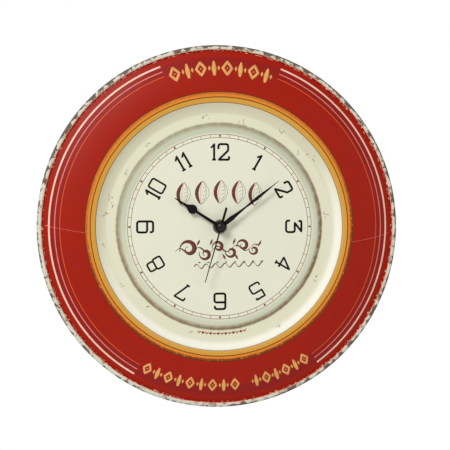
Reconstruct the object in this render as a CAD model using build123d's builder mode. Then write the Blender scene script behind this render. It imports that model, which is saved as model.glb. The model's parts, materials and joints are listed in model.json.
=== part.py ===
"""Round pressed-tin wall clock with a quartz movement, every piece its own solid.

Millimetres.  +Z is up and the dial faces -Y.  The origin is the round entry of the hanging
keyhole, on the wall plane y = 0.  "Depth" means distance in front of the wall.  Positions across
the clock are (x, height) pairs measured from the hand axis.
"""

import os
from math import cos, hypot, radians, sin

from build123d import *

os.makedirs("parts", exist_ok=True)

# ---- tin case -------------------------------------------------------------------------------
SHEET = 0.6
CASE_RADIUS = 190.0
BEAD_RADIUS = 3.1
BEAD_DEPTH = 14.6
BEAD_ENTRY_ANGLE = 160.0
BEAD_TAIL_ANGLE = -148.0
CREST_RADIUS = 137.0
CREST_DEPTH = 28.2
BEVEL_TOP_RADIUS = 129.5
BEVEL_TOP_DEPTH = 27.2
BEVEL_FOOT_RADIUS = 118.0
RING_DEPTH = 23.0
SHOULDER_FOOT_RADIUS = 108.3
PLATEAU_RADIUS = 98.5
PLATEAU_DEPTH = 26.0
BAND_GAP = 0.4
HOLE_CLEARANCE = 0.3
FLANGE_WIDTH = 12.0

# ---- hanger ---------------------------------------------------------------------------------
HANG_HEIGHT = 160.0
HANGER_SHEET = 1.0
HANGER_CLEARANCE = 0.6
HANGER_WIDTH = 40.0
TONGUE_WIDTH = 24.0
KEYHOLE_RADIUS = 4.5
KEYHOLE_SLOT_RADIUS = 2.2
KEYHOLE_SLOT_RISE = 6.5
RIVET_RADIUS = 1.5
RIVET_SPACING = 28.0
RIVET_HEAD_RADIUS = 2.8
RIVET_HEAD_HEIGHT = 0.9
RIVET_HEAD_TAPER = 30.0
HANGER_CORNER = 1.2
HANGER_LAP = 1.6
HANGER_EDGE_ROOM = 1.0
TONGUE_BELOW_HOLE = 4.0
TONGUE_CORNER = 2.0
RIVET_DROP = 1.5

# ---- movement case --------------------------------------------------------------------------
MOVEMENT_SIZE = 56.0
MOVEMENT_DEPTH = 16.0
WALL = 1.2
COVER_THICKNESS = 1.8
CORNER_RADIUS = 2.5
COVER_CORNER = 0.9
GASKET_THICKNESS = 1.0
GASKET_RADIUS = 9.0
GASKET_CLEARANCE = 0.2
BATTERY_RADIUS = 7.2
BATTERY_LENGTH = 49.0
BATTERY_ROUND = 0.5
BATTERY_NUB_RADIUS = 2.75
BATTERY_NUB_LENGTH = 1.2
BATTERY_CLEARANCE = 0.3
STRIP = 0.4

# ---- shaft fixings --------------------------------------------------------------------------
RUNNING_CLEARANCE = 0.05
SEAT_CLEARANCE = 0.05
SECOND_ARBOR_RADIUS = 0.6
MINUTE_PIPE_RADIUS = 1.5
HOUR_PIPE_RADIUS = 2.5
BUSHING_RADIUS = 4.0
BUSHING_RISE = 4.2
BUSHING_FLANGE_RADIUS = 6.0
BUSHING_FLANGE = 1.0
BUSHING_CHAMFER = 0.4
DIAL_WASHER_RADIUS = 7.5
DIAL_WASHER = 0.8
DIAL_WASHER_ROUND = 0.3
NUT_ACROSS_FLATS = 11.0
NUT_HEIGHT = 2.6

# ---- hands ----------------------------------------------------------------------------------
HAND_SHEET = 0.5
HAND_HUB_RADIUS = 5.5
HOUR_ANGLE = 302.1
MINUTE_ANGLE = 52.0
SECOND_ANGLE = 196.1
HOUR_LENGTH = 56.3
HOUR_BULB_RADIUS = 4.9
HOUR_BULB_PLACE = 34.6
MINUTE_LENGTH = 77.4
SECOND_LENGTH = 60.0
SECOND_TAIL = 21.0
HAND_GAP = 1.6
CAP_RADIUS = 4.3
CAP_HEIGHT = 2.8
CAP_BLIND = 1.0
HOUR_COLLAR = 0.9
HOUR_COLLAR_HEIGHT = 0.5
MINUTE_NUT_RADIUS = 2.6
MINUTE_NUT_HEIGHT = 1.6
SECOND_HUB_RADIUS = 2.4
HAND_REST = 0.8

# ---- going train and motion work ------------------------------------------------------------
TEETH = {
    "cannon": 12,
    "minute_work": 36,
    "minute_work_pinion": 10,
    "hour": 40,
    "setting": 12,
    "centre": 64,
    "third_pinion": 8,
    "third": 60,
    "second_pinion": 8,
    "second": 60,
    "step_pinion": 10,
    "step": 60,
    "rotor_pinion": 12,
}
# Each line of centres, as the anticlockwise angle of the driven arbor seen from the driver.
MOTION_LINE = -20.0
SETTING_LINE = 0.0
THIRD_LINE = 160.0
STEP_LINE = 60.0
ROTOR_LINE = 20.0

MOTION_MODULE = 0.35
CENTRE_MODULE = 0.25
STEP_MODULE = 0.2
WHEEL_SHEET = 0.5
PIVOT_RADIUS = 0.35
ARBOR_RADIUS = 0.5
POST_RADIUS = 0.6
SETTING_SHAFT_RADIUS = 1.2
KNOB_RADIUS = 4.6
KNOB_LENGTH = 2.6
KNOB_GAP = 0.3
KNOB_FLUTES = 18
KNOB_FLUTE_RADIUS = 0.35
SHAFT_PROUD = 1.0
MAGNET_RADIUS = 2.5
MAGNET_LENGTH = 2.2
AIR_GAP = 0.5

WHEEL_GAP = 0.9
FLANGE_PLAY = 0.2
PLATE_GAP = 0.6
PINION_OVERHANG = 0.3
ARBOR_OVERHANG = 0.6
FRONT_PIVOT = 0.8
PIPE_PROUD = 0.3
HOUR_PIPE_PROUD = 0.5
PIVOT_SINK = 0.8
PIVOT_END_PLAY = 0.2

# ---- drive: plate, coil, stator, board and contacts -----------------------------------------
PLATE_THICKNESS = 1.0
PLATE_HEIGHT = 22.8
PLATE_LIFT = 1.6
PLATE_CLEARANCE = 0.2
PLATE_CORNER = 1.5
PEG_RADIUS = 1.6
PEG_EDGE_ROOM = 3.3
PEG_LOW = -7.0
PEG_HIGH = 11.0
COVER_PEG_RADIUS = 1.2
COVER_PEG_LENGTH = 0.6
COVER_PEG_EDGE_ROOM = 5.3
COVER_PEG_HEIGHTS = (-7.5, 13.0)
STATOR_THICKNESS = 0.8
STATOR_RISE = 0.4
YOKE_HEIGHT = 14.5
YOKE_WIDTH = 4.0
POLE_RADIUS = 5.4
NECK_DROP = 2.5
NECK_WIDTH = 9.0
NECK_HEIGHT = 3.0
LEG_LAP = 1.0
LEG_WIDTH = 4.0
LEG_INSET = 0.2
COIL_ROOM = 5.6
CORE_END_ROOM = 7.8
CORE_WIDTH = 3.0
BOBBIN_END_ROOM = 2.0
BOBBIN_FLANGE = 1.0
BOBBIN_RADIUS = 4.2
BARREL_WALL = 0.5
WINDING_RADIUS = 3.8
BOARD_THICKNESS = 0.8
BOARD_WIDTH = 13.0
BOARD_LENGTH = 24.0
BOARD_EDGE_ROOM = 0.8
BOARD_HEIGHT = 2.6
CRYSTAL_RADIUS = 1.0
CRYSTAL_LENGTH = 6.0
CRYSTAL_ROUND = 0.3
CRYSTAL_SHIFT = 2.5
CHIP_RADIUS = 2.6
CHIP_HEIGHT = 1.2
CHIP_TAPER = 40.0
CHIP_SHIFT = 2.5
CHIP_RISE = 5.4
CONTACT_WIDTH = 8.0
CONTACT_HEIGHT = 12.0
LEAF_ROOT = 4.0
LEAF_TIP = 3.0
LEAF_GAP = 0.151

# ---- worked-out levels, each a depth in front of the wall -----------------------------------
case_front = PLATEAU_DEPTH - SHEET - GASKET_THICKNESS
case_back = case_front - MOVEMENT_DEPTH
cover_inside = case_back + COVER_THICKNESS
front_wall_inside = case_front - WALL
flange_back = front_wall_inside - BUSHING_FLANGE
hour_wheel_level = flange_back - FLANGE_PLAY - WHEEL_SHEET
minute_work_level = hour_wheel_level - WHEEL_GAP - WHEEL_SHEET
centre_level = minute_work_level - WHEEL_GAP - WHEEL_SHEET
plate_front = centre_level - WHEEL_GAP
plate_back = plate_front - PLATE_THICKNESS
third_level = plate_back - PLATE_GAP - WHEEL_SHEET
second_level = third_level - WHEEL_GAP - WHEEL_SHEET
step_level = second_level - WHEEL_GAP - WHEEL_SHEET
pivot_seat = cover_inside - PIVOT_SINK
washer_front = PLATEAU_DEPTH + DIAL_WASHER
bushing_front = PLATEAU_DEPTH + BUSHING_RISE
hour_hand_level = bushing_front + HAND_REST
minute_hand_level = hour_hand_level + HAND_SHEET + HAND_GAP
minute_nut_front = minute_hand_level + HAND_SHEET + MINUTE_NUT_HEIGHT
second_hand_level = minute_nut_front + HAND_REST
cap_front = second_hand_level + HAND_SHEET + CAP_HEIGHT

hand_axis = Axis((0, 0, -HANG_HEIGHT), (0, 1, 0))
turning_plane = Plane(origin=(0, 0, -HANG_HEIGHT), x_dir=(1, 0, 0), z_dir=(0, 0, -1))


def around(centre, distance, angle):
    """The point at a distance and anticlockwise angle from a centre, all as (x, height)."""
    return (centre[0] + distance * cos(radians(angle)), centre[1] + distance * sin(radians(angle)))


def front(depth, place=(0.0, 0.0)):
    """A plane parallel to the dial at a depth, centred on an (x, height) and facing the viewer."""
    return Plane(
        origin=(place[0], -depth, place[1] - HANG_HEIGHT), x_dir=(1, 0, 0), z_dir=(0, -1, 0)
    )


def toothed_outline(teeth, module, share):
    """A wheel's outline: radial flanks, round roots and rounded tips; share is tooth to pitch."""
    pitch_radius = module * teeth / 2
    root_radius = pitch_radius - 1.15 * module
    tip_radius = pitch_radius + 0.85 * module
    half_tooth = 180.0 / teeth * share
    half_pitch = 180.0 / teeth
    middle = (0.0, 0.0)
    with BuildSketch() as outline:
        with BuildLine():
            for tooth in range(teeth):
                angle = 2 * half_pitch * tooth
                low = around(middle, root_radius, angle - half_tooth)
                rise = around(middle, pitch_radius, angle - half_tooth)
                fall = around(middle, pitch_radius, angle + half_tooth)
                foot = around(middle, root_radius, angle + half_tooth)
                following = around(middle, root_radius, angle + 2 * half_pitch - half_tooth)
                Line(low, rise)
                ThreePointArc(rise, around(middle, tip_radius, angle), fall)
                Line(fall, foot)
                ThreePointArc(foot, around(middle, root_radius, angle + half_pitch), following)
        make_face()
    return outline.sketch


def wheel_outline(name, module):
    """The outline of a many-toothed wheel, whose teeth are just under half the pitch."""
    return toothed_outline(TEETH[name], module, 0.46)


def pinion_outline(name, module):
    """The outline of a small pinion, whose leaves are thin to leave backlash."""
    return toothed_outline(TEETH[name], module, 0.34)


def pinion_phase(name, line_angle):
    """The turn that puts a gap on the line of centres."""
    return line_angle + 180.0 / TEETH[name]


def hand_outline(half_points):
    """A hand's closed outline from the arcs of its upper half, mirrored about its centre line."""
    with BuildSketch() as outline:
        with BuildLine():
            start = half_points[0][0]
            Line((start[0], 0), start)
            for stretch in half_points:
                if len(stretch) == 3:
                    ThreePointArc(*stretch)
                else:
                    Line(*stretch)
            end = half_points[-1][-1]
            Line(end, (end[0], 0))
            Line((end[0], 0), (start[0], 0))
        make_face()
        mirror(about=Plane.XZ)
    return outline.sketch


# ---- places of the arbors -------------------------------------------------------------------
centre_place = (0.0, 0.0)
motion_distance = MOTION_MODULE * (TEETH["cannon"] + TEETH["minute_work"]) / 2
hour_module = 2 * motion_distance / (TEETH["hour"] + TEETH["minute_work_pinion"])
minute_work_place = around(centre_place, motion_distance, MOTION_LINE)
setting_distance = MOTION_MODULE * (TEETH["minute_work"] + TEETH["setting"]) / 2
setting_place = around(minute_work_place, setting_distance, SETTING_LINE)
third_distance = CENTRE_MODULE * (TEETH["centre"] + TEETH["third_pinion"]) / 2
second_module = 2 * third_distance / (TEETH["third"] + TEETH["second_pinion"])
third_place = around(centre_place, third_distance, THIRD_LINE)
step_distance = STEP_MODULE * (TEETH["second"] + TEETH["step_pinion"]) / 2
step_place = around(centre_place, step_distance, STEP_LINE)
rotor_distance = STEP_MODULE * (TEETH["step"] + TEETH["rotor_pinion"]) / 2
rotor_place = around(step_place, rotor_distance, ROTOR_LINE)

# ---- tin case: the face is one pressing with its edge rolled into a bead --------------------
bead_centre = (CASE_RADIUS - BEAD_RADIUS, BEAD_DEPTH)
hole_radius = BUSHING_RADIUS + HOLE_CLEARANCE


def set_back(radius, depth, slope, inset):
    """A point of the face's surface moved back along its normal, where the face has a slope."""
    return (radius + inset * sin(radians(slope)), depth - inset * cos(radians(slope)))


def face_line(inset):
    """The face's surface from the shaft hole to the end of the bead, set back by an inset."""
    roll = BEAD_RADIUS - inset
    entry_angle = BEAD_ENTRY_ANGLE + 24 * inset
    hole_edge = set_back(hole_radius, PLATEAU_DEPTH, 0, inset)
    plateau_edge = set_back(PLATEAU_RADIUS, PLATEAU_DEPTH, 0, inset)
    shoulder = (PLATEAU_RADIUS + SHOULDER_FOOT_RADIUS) / 2 + 0.6
    shoulder_middle = set_back(shoulder, (PLATEAU_DEPTH + RING_DEPTH) / 2 + 0.5, -20, inset)
    shoulder_foot = set_back(SHOULDER_FOOT_RADIUS, RING_DEPTH, -18, inset)
    bevel_foot = set_back(BEVEL_FOOT_RADIUS, RING_DEPTH, 4, inset)
    bevel = (BEVEL_FOOT_RADIUS + BEVEL_TOP_RADIUS) / 2 + 0.5
    bevel_middle = set_back(bevel, (RING_DEPTH + BEVEL_TOP_DEPTH) / 2 - 0.7, 20, inset)
    bevel_top = set_back(BEVEL_TOP_RADIUS, BEVEL_TOP_DEPTH, 26, inset)
    crest = set_back(CREST_RADIUS - 1.5, CREST_DEPTH, 0, inset)
    dome_start = set_back(CREST_RADIUS + 3.5, CREST_DEPTH - 0.35, -7, inset)
    dome_end = around(bead_centre, roll, entry_angle)
    dome = (dome_start[0] + dome_end[0]) / 2
    dome_middle = (dome, (dome_start[1] + dome_end[1]) / 2 + 2.2)
    bead_top = around(bead_centre, roll, (entry_angle + BEAD_TAIL_ANGLE) / 2)
    bead_tail = around(bead_centre, roll, BEAD_TAIL_ANGLE)
    Line(hole_edge, plateau_edge)
    Spline(plateau_edge, shoulder_middle, shoulder_foot, tangents=((1, 0), (0.8, -0.6)))
    Line(shoulder_foot, bevel_foot)
    ThreePointArc(bevel_foot, bevel_middle, bevel_top)
    ThreePointArc(bevel_top, crest, dome_start)
    ThreePointArc(dome_start, dome_middle, dome_end)
    ThreePointArc(dome_end, bead_top, bead_tail)
    return hole_edge, bead_tail


with BuildPart() as face_stamping:
    with BuildSketch(turning_plane):
        with BuildLine():
            front_hole_edge, front_tail = face_line(0.0)
            back_hole_edge, back_tail = face_line(SHEET)
            Line(front_hole_edge, back_hole_edge)
            Line(front_tail, back_tail)
        make_face()
    revolve(axis=hand_axis)
face_stamping.part.label = "face_stamping"
export_step(face_stamping.part, "parts/face_stamping.step")

# The band is the clock's side wall, with a flange turned in against the wall.
band_radius = CASE_RADIUS - 2 * BEAD_RADIUS
band_front = BEAD_DEPTH - BAND_GAP - SHEET
flange_radius = band_radius - FLANGE_WIDTH

with BuildPart() as back_band:
    with BuildSketch(turning_plane):
        with BuildLine():
            FilletPolyline(
                (band_radius, band_front),
                (band_radius, 0),
                (flange_radius, 0),
                radius=2 * SHEET,
            )
            FilletPolyline(
                (band_radius - SHEET, band_front),
                (band_radius - SHEET, SHEET),
                (flange_radius, SHEET),
                radius=SHEET,
            )
            Line((band_radius, band_front), (band_radius - SHEET, band_front))
            Line((flange_radius, 0), (flange_radius, SHEET))
        make_face()
    revolve(axis=hand_axis)
    rivet_height = (band_radius + flange_radius) / 2 - RIVET_DROP
    rivet_places = [(side * RIVET_SPACING / 2, rivet_height) for side in (-1, 1)]
    with BuildSketch(front(0)):
        with Locations(*rivet_places):
            Circle(RIVET_RADIUS + SEAT_CLEARANCE)
    extrude(amount=SHEET, mode=Mode.SUBTRACT)
back_band.part.label = "back_band"
export_step(back_band.part, "parts/back_band.step")

# ---- hanger: a joggled plate, riveted inside the flange, whose tongue lies on the wall plane --
tongue_top = flange_radius - HANGER_CLEARANCE
tongue_bottom = HANG_HEIGHT - KEYHOLE_RADIUS - TONGUE_BELOW_HOLE
hanger_top = rivet_height + 2 * RIVET_RADIUS + HANGER_EDGE_ROOM

with BuildPart() as hanger_plate:
    with BuildSketch(front(0)):
        with Locations((0, (tongue_top + tongue_bottom) / 2)):
            RectangleRounded(TONGUE_WIDTH, tongue_top - tongue_bottom, TONGUE_CORNER)
        with Locations((0, tongue_top - TONGUE_CORNER)):
            Rectangle(TONGUE_WIDTH, 2 * TONGUE_CORNER)
    extrude(amount=HANGER_SHEET)
    with BuildSketch(front(SHEET)):
        with Locations((0, (hanger_top + tongue_top - HANGER_LAP) / 2)):
            RectangleRounded(HANGER_WIDTH, hanger_top - tongue_top + HANGER_LAP, HANGER_CORNER)
    extrude(amount=HANGER_SHEET)
    with BuildSketch(front(0)):
        with Locations((0, HANG_HEIGHT)):
            Circle(KEYHOLE_RADIUS)
        with Locations((0, HANG_HEIGHT + KEYHOLE_SLOT_RISE / 2)):
            Rectangle(2 * KEYHOLE_SLOT_RADIUS, KEYHOLE_SLOT_RISE)
        with Locations((0, HANG_HEIGHT + KEYHOLE_SLOT_RISE)):
            Circle(KEYHOLE_SLOT_RADIUS)
        with Locations(*rivet_places):
            Circle(RIVET_RADIUS + SEAT_CLEARANCE)
    extrude(amount=SHEET + HANGER_SHEET, mode=Mode.SUBTRACT)
hanger_plate.part.label = "hanger_plate"
export_step(hanger_plate.part, "parts/hanger_plate.step")

with BuildPart() as hanger_rivets:
    with BuildSketch(front(0)):
        with Locations(*rivet_places):
            Circle(RIVET_RADIUS)
    extrude(amount=SHEET + HANGER_SHEET)
    with BuildSketch(front(SHEET + HANGER_SHEET)):
        with Locations(*rivet_places):
            Circle(RIVET_HEAD_RADIUS)
    extrude(amount=RIVET_HEAD_HEIGHT, taper=RIVET_HEAD_TAPER)
hanger_rivets.part.label = "hanger_rivets"
export_step(hanger_rivets.part, "parts/hanger_rivets.step")

# ---- movement case: a moulded box that opens to the back --------------------------------------
half_case = MOVEMENT_SIZE / 2
inner_width = MOVEMENT_SIZE - 2 * WALL
bay_floor = -half_case + WALL
battery_height = bay_floor + BATTERY_RADIUS + BATTERY_CLEARANCE
partition_low = battery_height + BATTERY_RADIUS + BATTERY_CLEARANCE
train_floor = partition_low + WALL
train_height = half_case - WALL - train_floor
train_middle = (half_case - WALL + train_floor) / 2

with BuildPart() as movement_case:
    with BuildSketch(front(case_back)):
        RectangleRounded(MOVEMENT_SIZE, MOVEMENT_SIZE, CORNER_RADIUS)
    extrude(amount=MOVEMENT_DEPTH)
    with BuildSketch(front(case_back)):
        with Locations((0, (bay_floor + partition_low) / 2)):
            Rectangle(inner_width, partition_low - bay_floor)
        with Locations((0, train_middle)):
            Rectangle(inner_width, train_height)
    extrude(amount=MOVEMENT_DEPTH - WALL, mode=Mode.SUBTRACT)
    with BuildSketch(front(case_back)):
        with Locations((0, (half_case + partition_low) / 2)):
            Rectangle(MOVEMENT_SIZE, half_case - partition_low)
    extrude(amount=COVER_THICKNESS, mode=Mode.SUBTRACT)
    with BuildSketch(front(front_wall_inside)):
        Circle(BUSHING_RADIUS + SEAT_CLEARANCE)
    extrude(amount=WALL, mode=Mode.SUBTRACT)
    with BuildSketch(front(minute_work_level - PINION_OVERHANG, minute_work_place)):
        Circle(POST_RADIUS)
    extrude(amount=front_wall_inside - minute_work_level + PINION_OVERHANG)
movement_case.part.label = "movement_case"
export_step(movement_case.part, "parts/movement_case.step")

arbor_seats = [third_place, step_place, rotor_place, centre_place]
cover_pegs = [(COVER_PEG_EDGE_ROOM - inner_width / 2, height) for height in COVER_PEG_HEIGHTS]
peg_place = inner_width / 2 - PEG_EDGE_ROOM
plate_pegs = [(peg_place, PEG_LOW), (-peg_place, PEG_HIGH), (peg_place, PEG_HIGH)]

with BuildPart() as movement_cover:
    with BuildSketch(front(case_back)):
        with Locations((0, (half_case + partition_low) / 2)):
            RectangleRounded(MOVEMENT_SIZE, half_case - partition_low, COVER_CORNER)
        with Locations(setting_place):
            Circle(SETTING_SHAFT_RADIUS + RUNNING_CLEARANCE, mode=Mode.SUBTRACT)
    extrude(amount=COVER_THICKNESS)
    with BuildSketch(front(pivot_seat)):
        with Locations(*arbor_seats):
            Circle(PIVOT_RADIUS + RUNNING_CLEARANCE)
    extrude(amount=cover_inside - pivot_seat, mode=Mode.SUBTRACT)
    with BuildSketch(front(cover_inside)):
        with Locations(*cover_pegs):
            Circle(COVER_PEG_RADIUS)
    extrude(amount=COVER_PEG_LENGTH)
movement_cover.part.label = "movement_cover"
export_step(movement_cover.part, "parts/movement_cover.step")

with BuildPart() as middle_plate:
    with BuildSketch(front(plate_back)):
        with Locations((0, PLATE_LIFT)):
            RectangleRounded(inner_width - 2 * PLATE_CLEARANCE, PLATE_HEIGHT, PLATE_CORNER)
        with Locations(centre_place):
            Circle(SECOND_ARBOR_RADIUS + RUNNING_CLEARANCE, mode=Mode.SUBTRACT)
        with Locations(third_place):
            Circle(ARBOR_RADIUS + RUNNING_CLEARANCE, mode=Mode.SUBTRACT)
        with Locations(step_place, rotor_place):
            Circle(PIVOT_RADIUS + RUNNING_CLEARANCE, mode=Mode.SUBTRACT)
        with Locations(setting_place):
            Circle(SETTING_SHAFT_RADIUS + RUNNING_CLEARANCE, mode=Mode.SUBTRACT)
    extrude(amount=PLATE_THICKNESS)
    with BuildSketch(front(cover_inside)):
        with Locations(*plate_pegs):
            Circle(PEG_RADIUS)
    extrude(amount=plate_back - cover_inside)
middle_plate.part.label = "middle_plate"
export_step(middle_plate.part, "parts/middle_plate.step")

# ---- fixings on the shaft -------------------------------------------------------------------
with BuildPart() as threaded_bushing:
    with BuildSketch(front(flange_back)):
        Circle(BUSHING_FLANGE_RADIUS)
    extrude(amount=BUSHING_FLANGE)
    with BuildSketch(front(front_wall_inside)):
        Circle(BUSHING_RADIUS)
    extrude(amount=bushing_front - front_wall_inside)
    chamfer(threaded_bushing.edges().sort_by(Axis.Y)[0], length=BUSHING_CHAMFER)
    with BuildSketch(front(flange_back)):
        Circle(HOUR_PIPE_RADIUS + RUNNING_CLEARANCE)
    extrude(amount=bushing_front - flange_back, mode=Mode.SUBTRACT)
threaded_bushing.part.label = "threaded_bushing"
export_step(threaded_bushing.part, "parts/threaded_bushing.step")

with BuildPart() as gasket:
    with BuildSketch(front(case_front)):
        Circle(GASKET_RADIUS)
        Circle(BUSHING_RADIUS + GASKET_CLEARANCE, mode=Mode.SUBTRACT)
    extrude(amount=GASKET_THICKNESS)
gasket.part.label = "gasket"
export_step(gasket.part, "parts/gasket.step")

with BuildPart() as dial_washer:
    with BuildSketch(front(PLATEAU_DEPTH)):
        Circle(DIAL_WASHER_RADIUS)
        Circle(BUSHING_RADIUS + 2 * SEAT_CLEARANCE, mode=Mode.SUBTRACT)
    extrude(amount=DIAL_WASHER)
    fillet(dial_washer.edges().group_by(Axis.Y)[0].sort_by(SortBy.LENGTH)[-1], radius=DIAL_WASHER_ROUND)
dial_washer.part.label = "dial_washer"
export_step(dial_washer.part, "parts/dial_washer.step")

with BuildPart() as hex_nut:
    with BuildSketch(front(washer_front)):
        RegularPolygon(NUT_ACROSS_FLATS / 2, 6, major_radius=False)
        Circle(BUSHING_RADIUS + SEAT_CLEARANCE, mode=Mode.SUBTRACT)
    extrude(amount=NUT_HEIGHT)
hex_nut.part.label = "hex_nut"
export_step(hex_nut.part, "parts/hex_nut.step")

# ---- drive: coil, stator and board ------------------------------------------------------------
coil_height = half_case - WALL - COIL_ROOM
core_half_length = inner_width / 2 - CORE_END_ROOM
bobbin_half_length = core_half_length - LEG_WIDTH - BOBBIN_END_ROOM
leg_bottom = YOKE_HEIGHT - LEG_LAP
leg_top = coil_height + CORE_WIDTH / 2 - LEG_INSET
leg_place = core_half_length - LEG_WIDTH / 2
leg_centres = [(side * leg_place, (leg_bottom + leg_top) / 2) for side in (-1, 1)]
stator_back = second_level + STATOR_RISE
stator_front = stator_back + STATOR_THICKNESS
core_front = stator_front + STATOR_THICKNESS
core_axis_depth = (stator_front + core_front) / 2
coil_plane = Plane(
    origin=(-bobbin_half_length, -core_axis_depth, coil_height - HANG_HEIGHT),
    x_dir=(0, 1, 0),
    z_dir=(1, 0, 0),
)

with BuildPart() as stator:
    with BuildSketch(front(stator_back)):
        with Locations((0, YOKE_HEIGHT)):
            Rectangle(2 * core_half_length, YOKE_WIDTH)
        with Locations(*leg_centres):
            Rectangle(LEG_WIDTH, leg_top - leg_bottom)
        with Locations(rotor_place):
            Circle(POLE_RADIUS)
        with Locations((rotor_place[0], YOKE_HEIGHT - NECK_DROP)):
            Rectangle(NECK_WIDTH, NECK_HEIGHT)
        with Locations(rotor_place):
            Circle(MAGNET_RADIUS + AIR_GAP, mode=Mode.SUBTRACT)
    extrude(amount=STATOR_THICKNESS)
stator.part.label = "stator"
export_step(stator.part, "parts/stator.step")

with BuildPart() as coil_core:
    with BuildSketch(front(stator_front)):
        with Locations((0, coil_height)):
            Rectangle(2 * core_half_length, CORE_WIDTH)
    extrude(amount=STATOR_THICKNESS)
coil_core.part.label = "coil_core"
export_step(coil_core.part, "parts/coil_core.step")

barrel_radius = hypot(CORE_WIDTH, STATOR_THICKNESS) / 2 + BARREL_WALL

with BuildPart() as coil_bobbin:
    with BuildSketch(coil_plane):
        Circle(barrel_radius)
    extrude(amount=2 * bobbin_half_length)
    with BuildSketch(coil_plane, coil_plane.offset(2 * bobbin_half_length - BOBBIN_FLANGE)):
        Circle(BOBBIN_RADIUS)
    extrude(amount=BOBBIN_FLANGE)
    with BuildSketch(coil_plane):
        Rectangle(STATOR_THICKNESS + 2 * SEAT_CLEARANCE, CORE_WIDTH + 2 * SEAT_CLEARANCE)
    extrude(amount=2 * bobbin_half_length, mode=Mode.SUBTRACT)
coil_bobbin.part.label = "coil_bobbin"
export_step(coil_bobbin.part, "parts/coil_bobbin.step")

with BuildPart() as coil_winding:
    with BuildSketch(coil_plane.offset(BOBBIN_FLANGE)):
        Circle(WINDING_RADIUS)
        Circle(barrel_radius, mode=Mode.SUBTRACT)
    extrude(amount=2 * (bobbin_half_length - BOBBIN_FLANGE))
coil_winding.part.label = "coil_winding"
export_step(coil_winding.part, "parts/coil_winding.step")

board_place = (BOARD_EDGE_ROOM + BOARD_WIDTH / 2 - inner_width / 2, BOARD_HEIGHT)
board_back = cover_inside + COVER_PEG_LENGTH
board_front = board_back + BOARD_THICKNESS

with BuildPart() as circuit_board:
    with BuildSketch(front(board_back)):
        with Locations(board_place):
            Rectangle(BOARD_WIDTH, BOARD_LENGTH)
    extrude(amount=BOARD_THICKNESS)
    with BuildSketch(front(cover_inside)):
        with Locations((-peg_place, PEG_HIGH)):
            Circle(PEG_RADIUS + 2 * SEAT_CLEARANCE)
    extrude(amount=board_front - cover_inside, mode=Mode.SUBTRACT)
circuit_board.part.label = "circuit_board"
export_step(circuit_board.part, "parts/circuit_board.step")

crystal_place = board_place[0] - CRYSTAL_SHIFT
crystal_foot = (crystal_place, -board_front - CRYSTAL_RADIUS, -HANG_HEIGHT - CRYSTAL_LENGTH)

with BuildPart() as quartz_crystal:
    with BuildSketch(Plane(origin=crystal_foot, z_dir=(0, 0, 1))):
        Circle(CRYSTAL_RADIUS)
    extrude(amount=CRYSTAL_LENGTH)
    fillet(quartz_crystal.edges().sort_by(Axis.Z)[-1], radius=CRYSTAL_ROUND)
quartz_crystal.part.label = "quartz_crystal"
export_step(quartz_crystal.part, "parts/quartz_crystal.step")

with BuildPart() as control_chip:
    with BuildSketch(front(board_front)):
        with Locations((board_place[0] + CHIP_SHIFT, board_place[1] + CHIP_RISE)):
            Circle(CHIP_RADIUS)
    extrude(amount=CHIP_HEIGHT, taper=CHIP_TAPER)
control_chip.part.label = "control_chip"
export_step(control_chip.part, "parts/control_chip.step")

# ---- battery and its contacts -----------------------------------------------------------------
battery_axis_depth = front_wall_inside - BATTERY_RADIUS - BATTERY_CLEARANCE
positive_face = half_case - WALL - STRIP
battery_right = positive_face - BATTERY_NUB_LENGTH
battery_left = battery_right - BATTERY_LENGTH
battery_plane = Plane(
    origin=(battery_left, -battery_axis_depth, battery_height - HANG_HEIGHT),
    x_dir=(0, 1, 0),
    z_dir=(1, 0, 0),
)

with BuildPart() as battery:
    with BuildSketch(battery_plane):
        Circle(BATTERY_RADIUS)
    extrude(amount=BATTERY_LENGTH)
    fillet(battery.edges().filter_by(GeomType.CIRCLE), radius=BATTERY_ROUND)
    with BuildSketch(battery_plane.offset(BATTERY_LENGTH)):
        Circle(BATTERY_NUB_RADIUS)
    extrude(amount=BATTERY_NUB_LENGTH)
battery.part.label = "battery"
export_step(battery.part, "parts/battery.step")

with BuildPart() as positive_contact:
    with BuildSketch(front(battery_axis_depth - CONTACT_WIDTH / 2)):
        with Locations((positive_face + STRIP / 2, battery_height)):
            Rectangle(STRIP, CONTACT_HEIGHT)
    extrude(amount=CONTACT_WIDTH)
positive_contact.part.label = "positive_contact"
export_step(positive_contact.part, "parts/positive_contact.step")

# The spring contact is a strip with a leaf bent out of it towards the battery's base.
spring_back = -half_case + WALL
leaf_run = battery_left - spring_back - STRIP
leaf_spread = (LEAF_ROOT + LEAF_TIP) / 2
leaf_mitre = STRIP / 2 * hypot(leaf_run, leaf_spread) / leaf_spread
spring_reach = battery_left - LEAF_GAP - leaf_mitre
leaf_low = battery_height - LEAF_ROOT

with BuildPart() as negative_contact:
    with BuildSketch(front(battery_axis_depth - CONTACT_WIDTH / 2)):
        with Locations((spring_back + STRIP / 2, battery_height)):
            Rectangle(STRIP, CONTACT_HEIGHT)
        with BuildLine():
            Polyline(
                (spring_back + STRIP / 2, leaf_low),
                (spring_reach, battery_height),
                (spring_back + 2 * STRIP, battery_height + LEAF_TIP),
            )
        trace(line_width=STRIP)
    extrude(amount=CONTACT_WIDTH)
negative_contact.part.label = "negative_contact"
export_step(negative_contact.part, "parts/negative_contact.step")

# ---- motion work: minute pipe, hour wheel, minute work, setting knob --------------------------
pipe_back = centre_level - ARBOR_OVERHANG
cannon_front = minute_work_level + WHEEL_SHEET + PINION_OVERHANG

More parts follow.
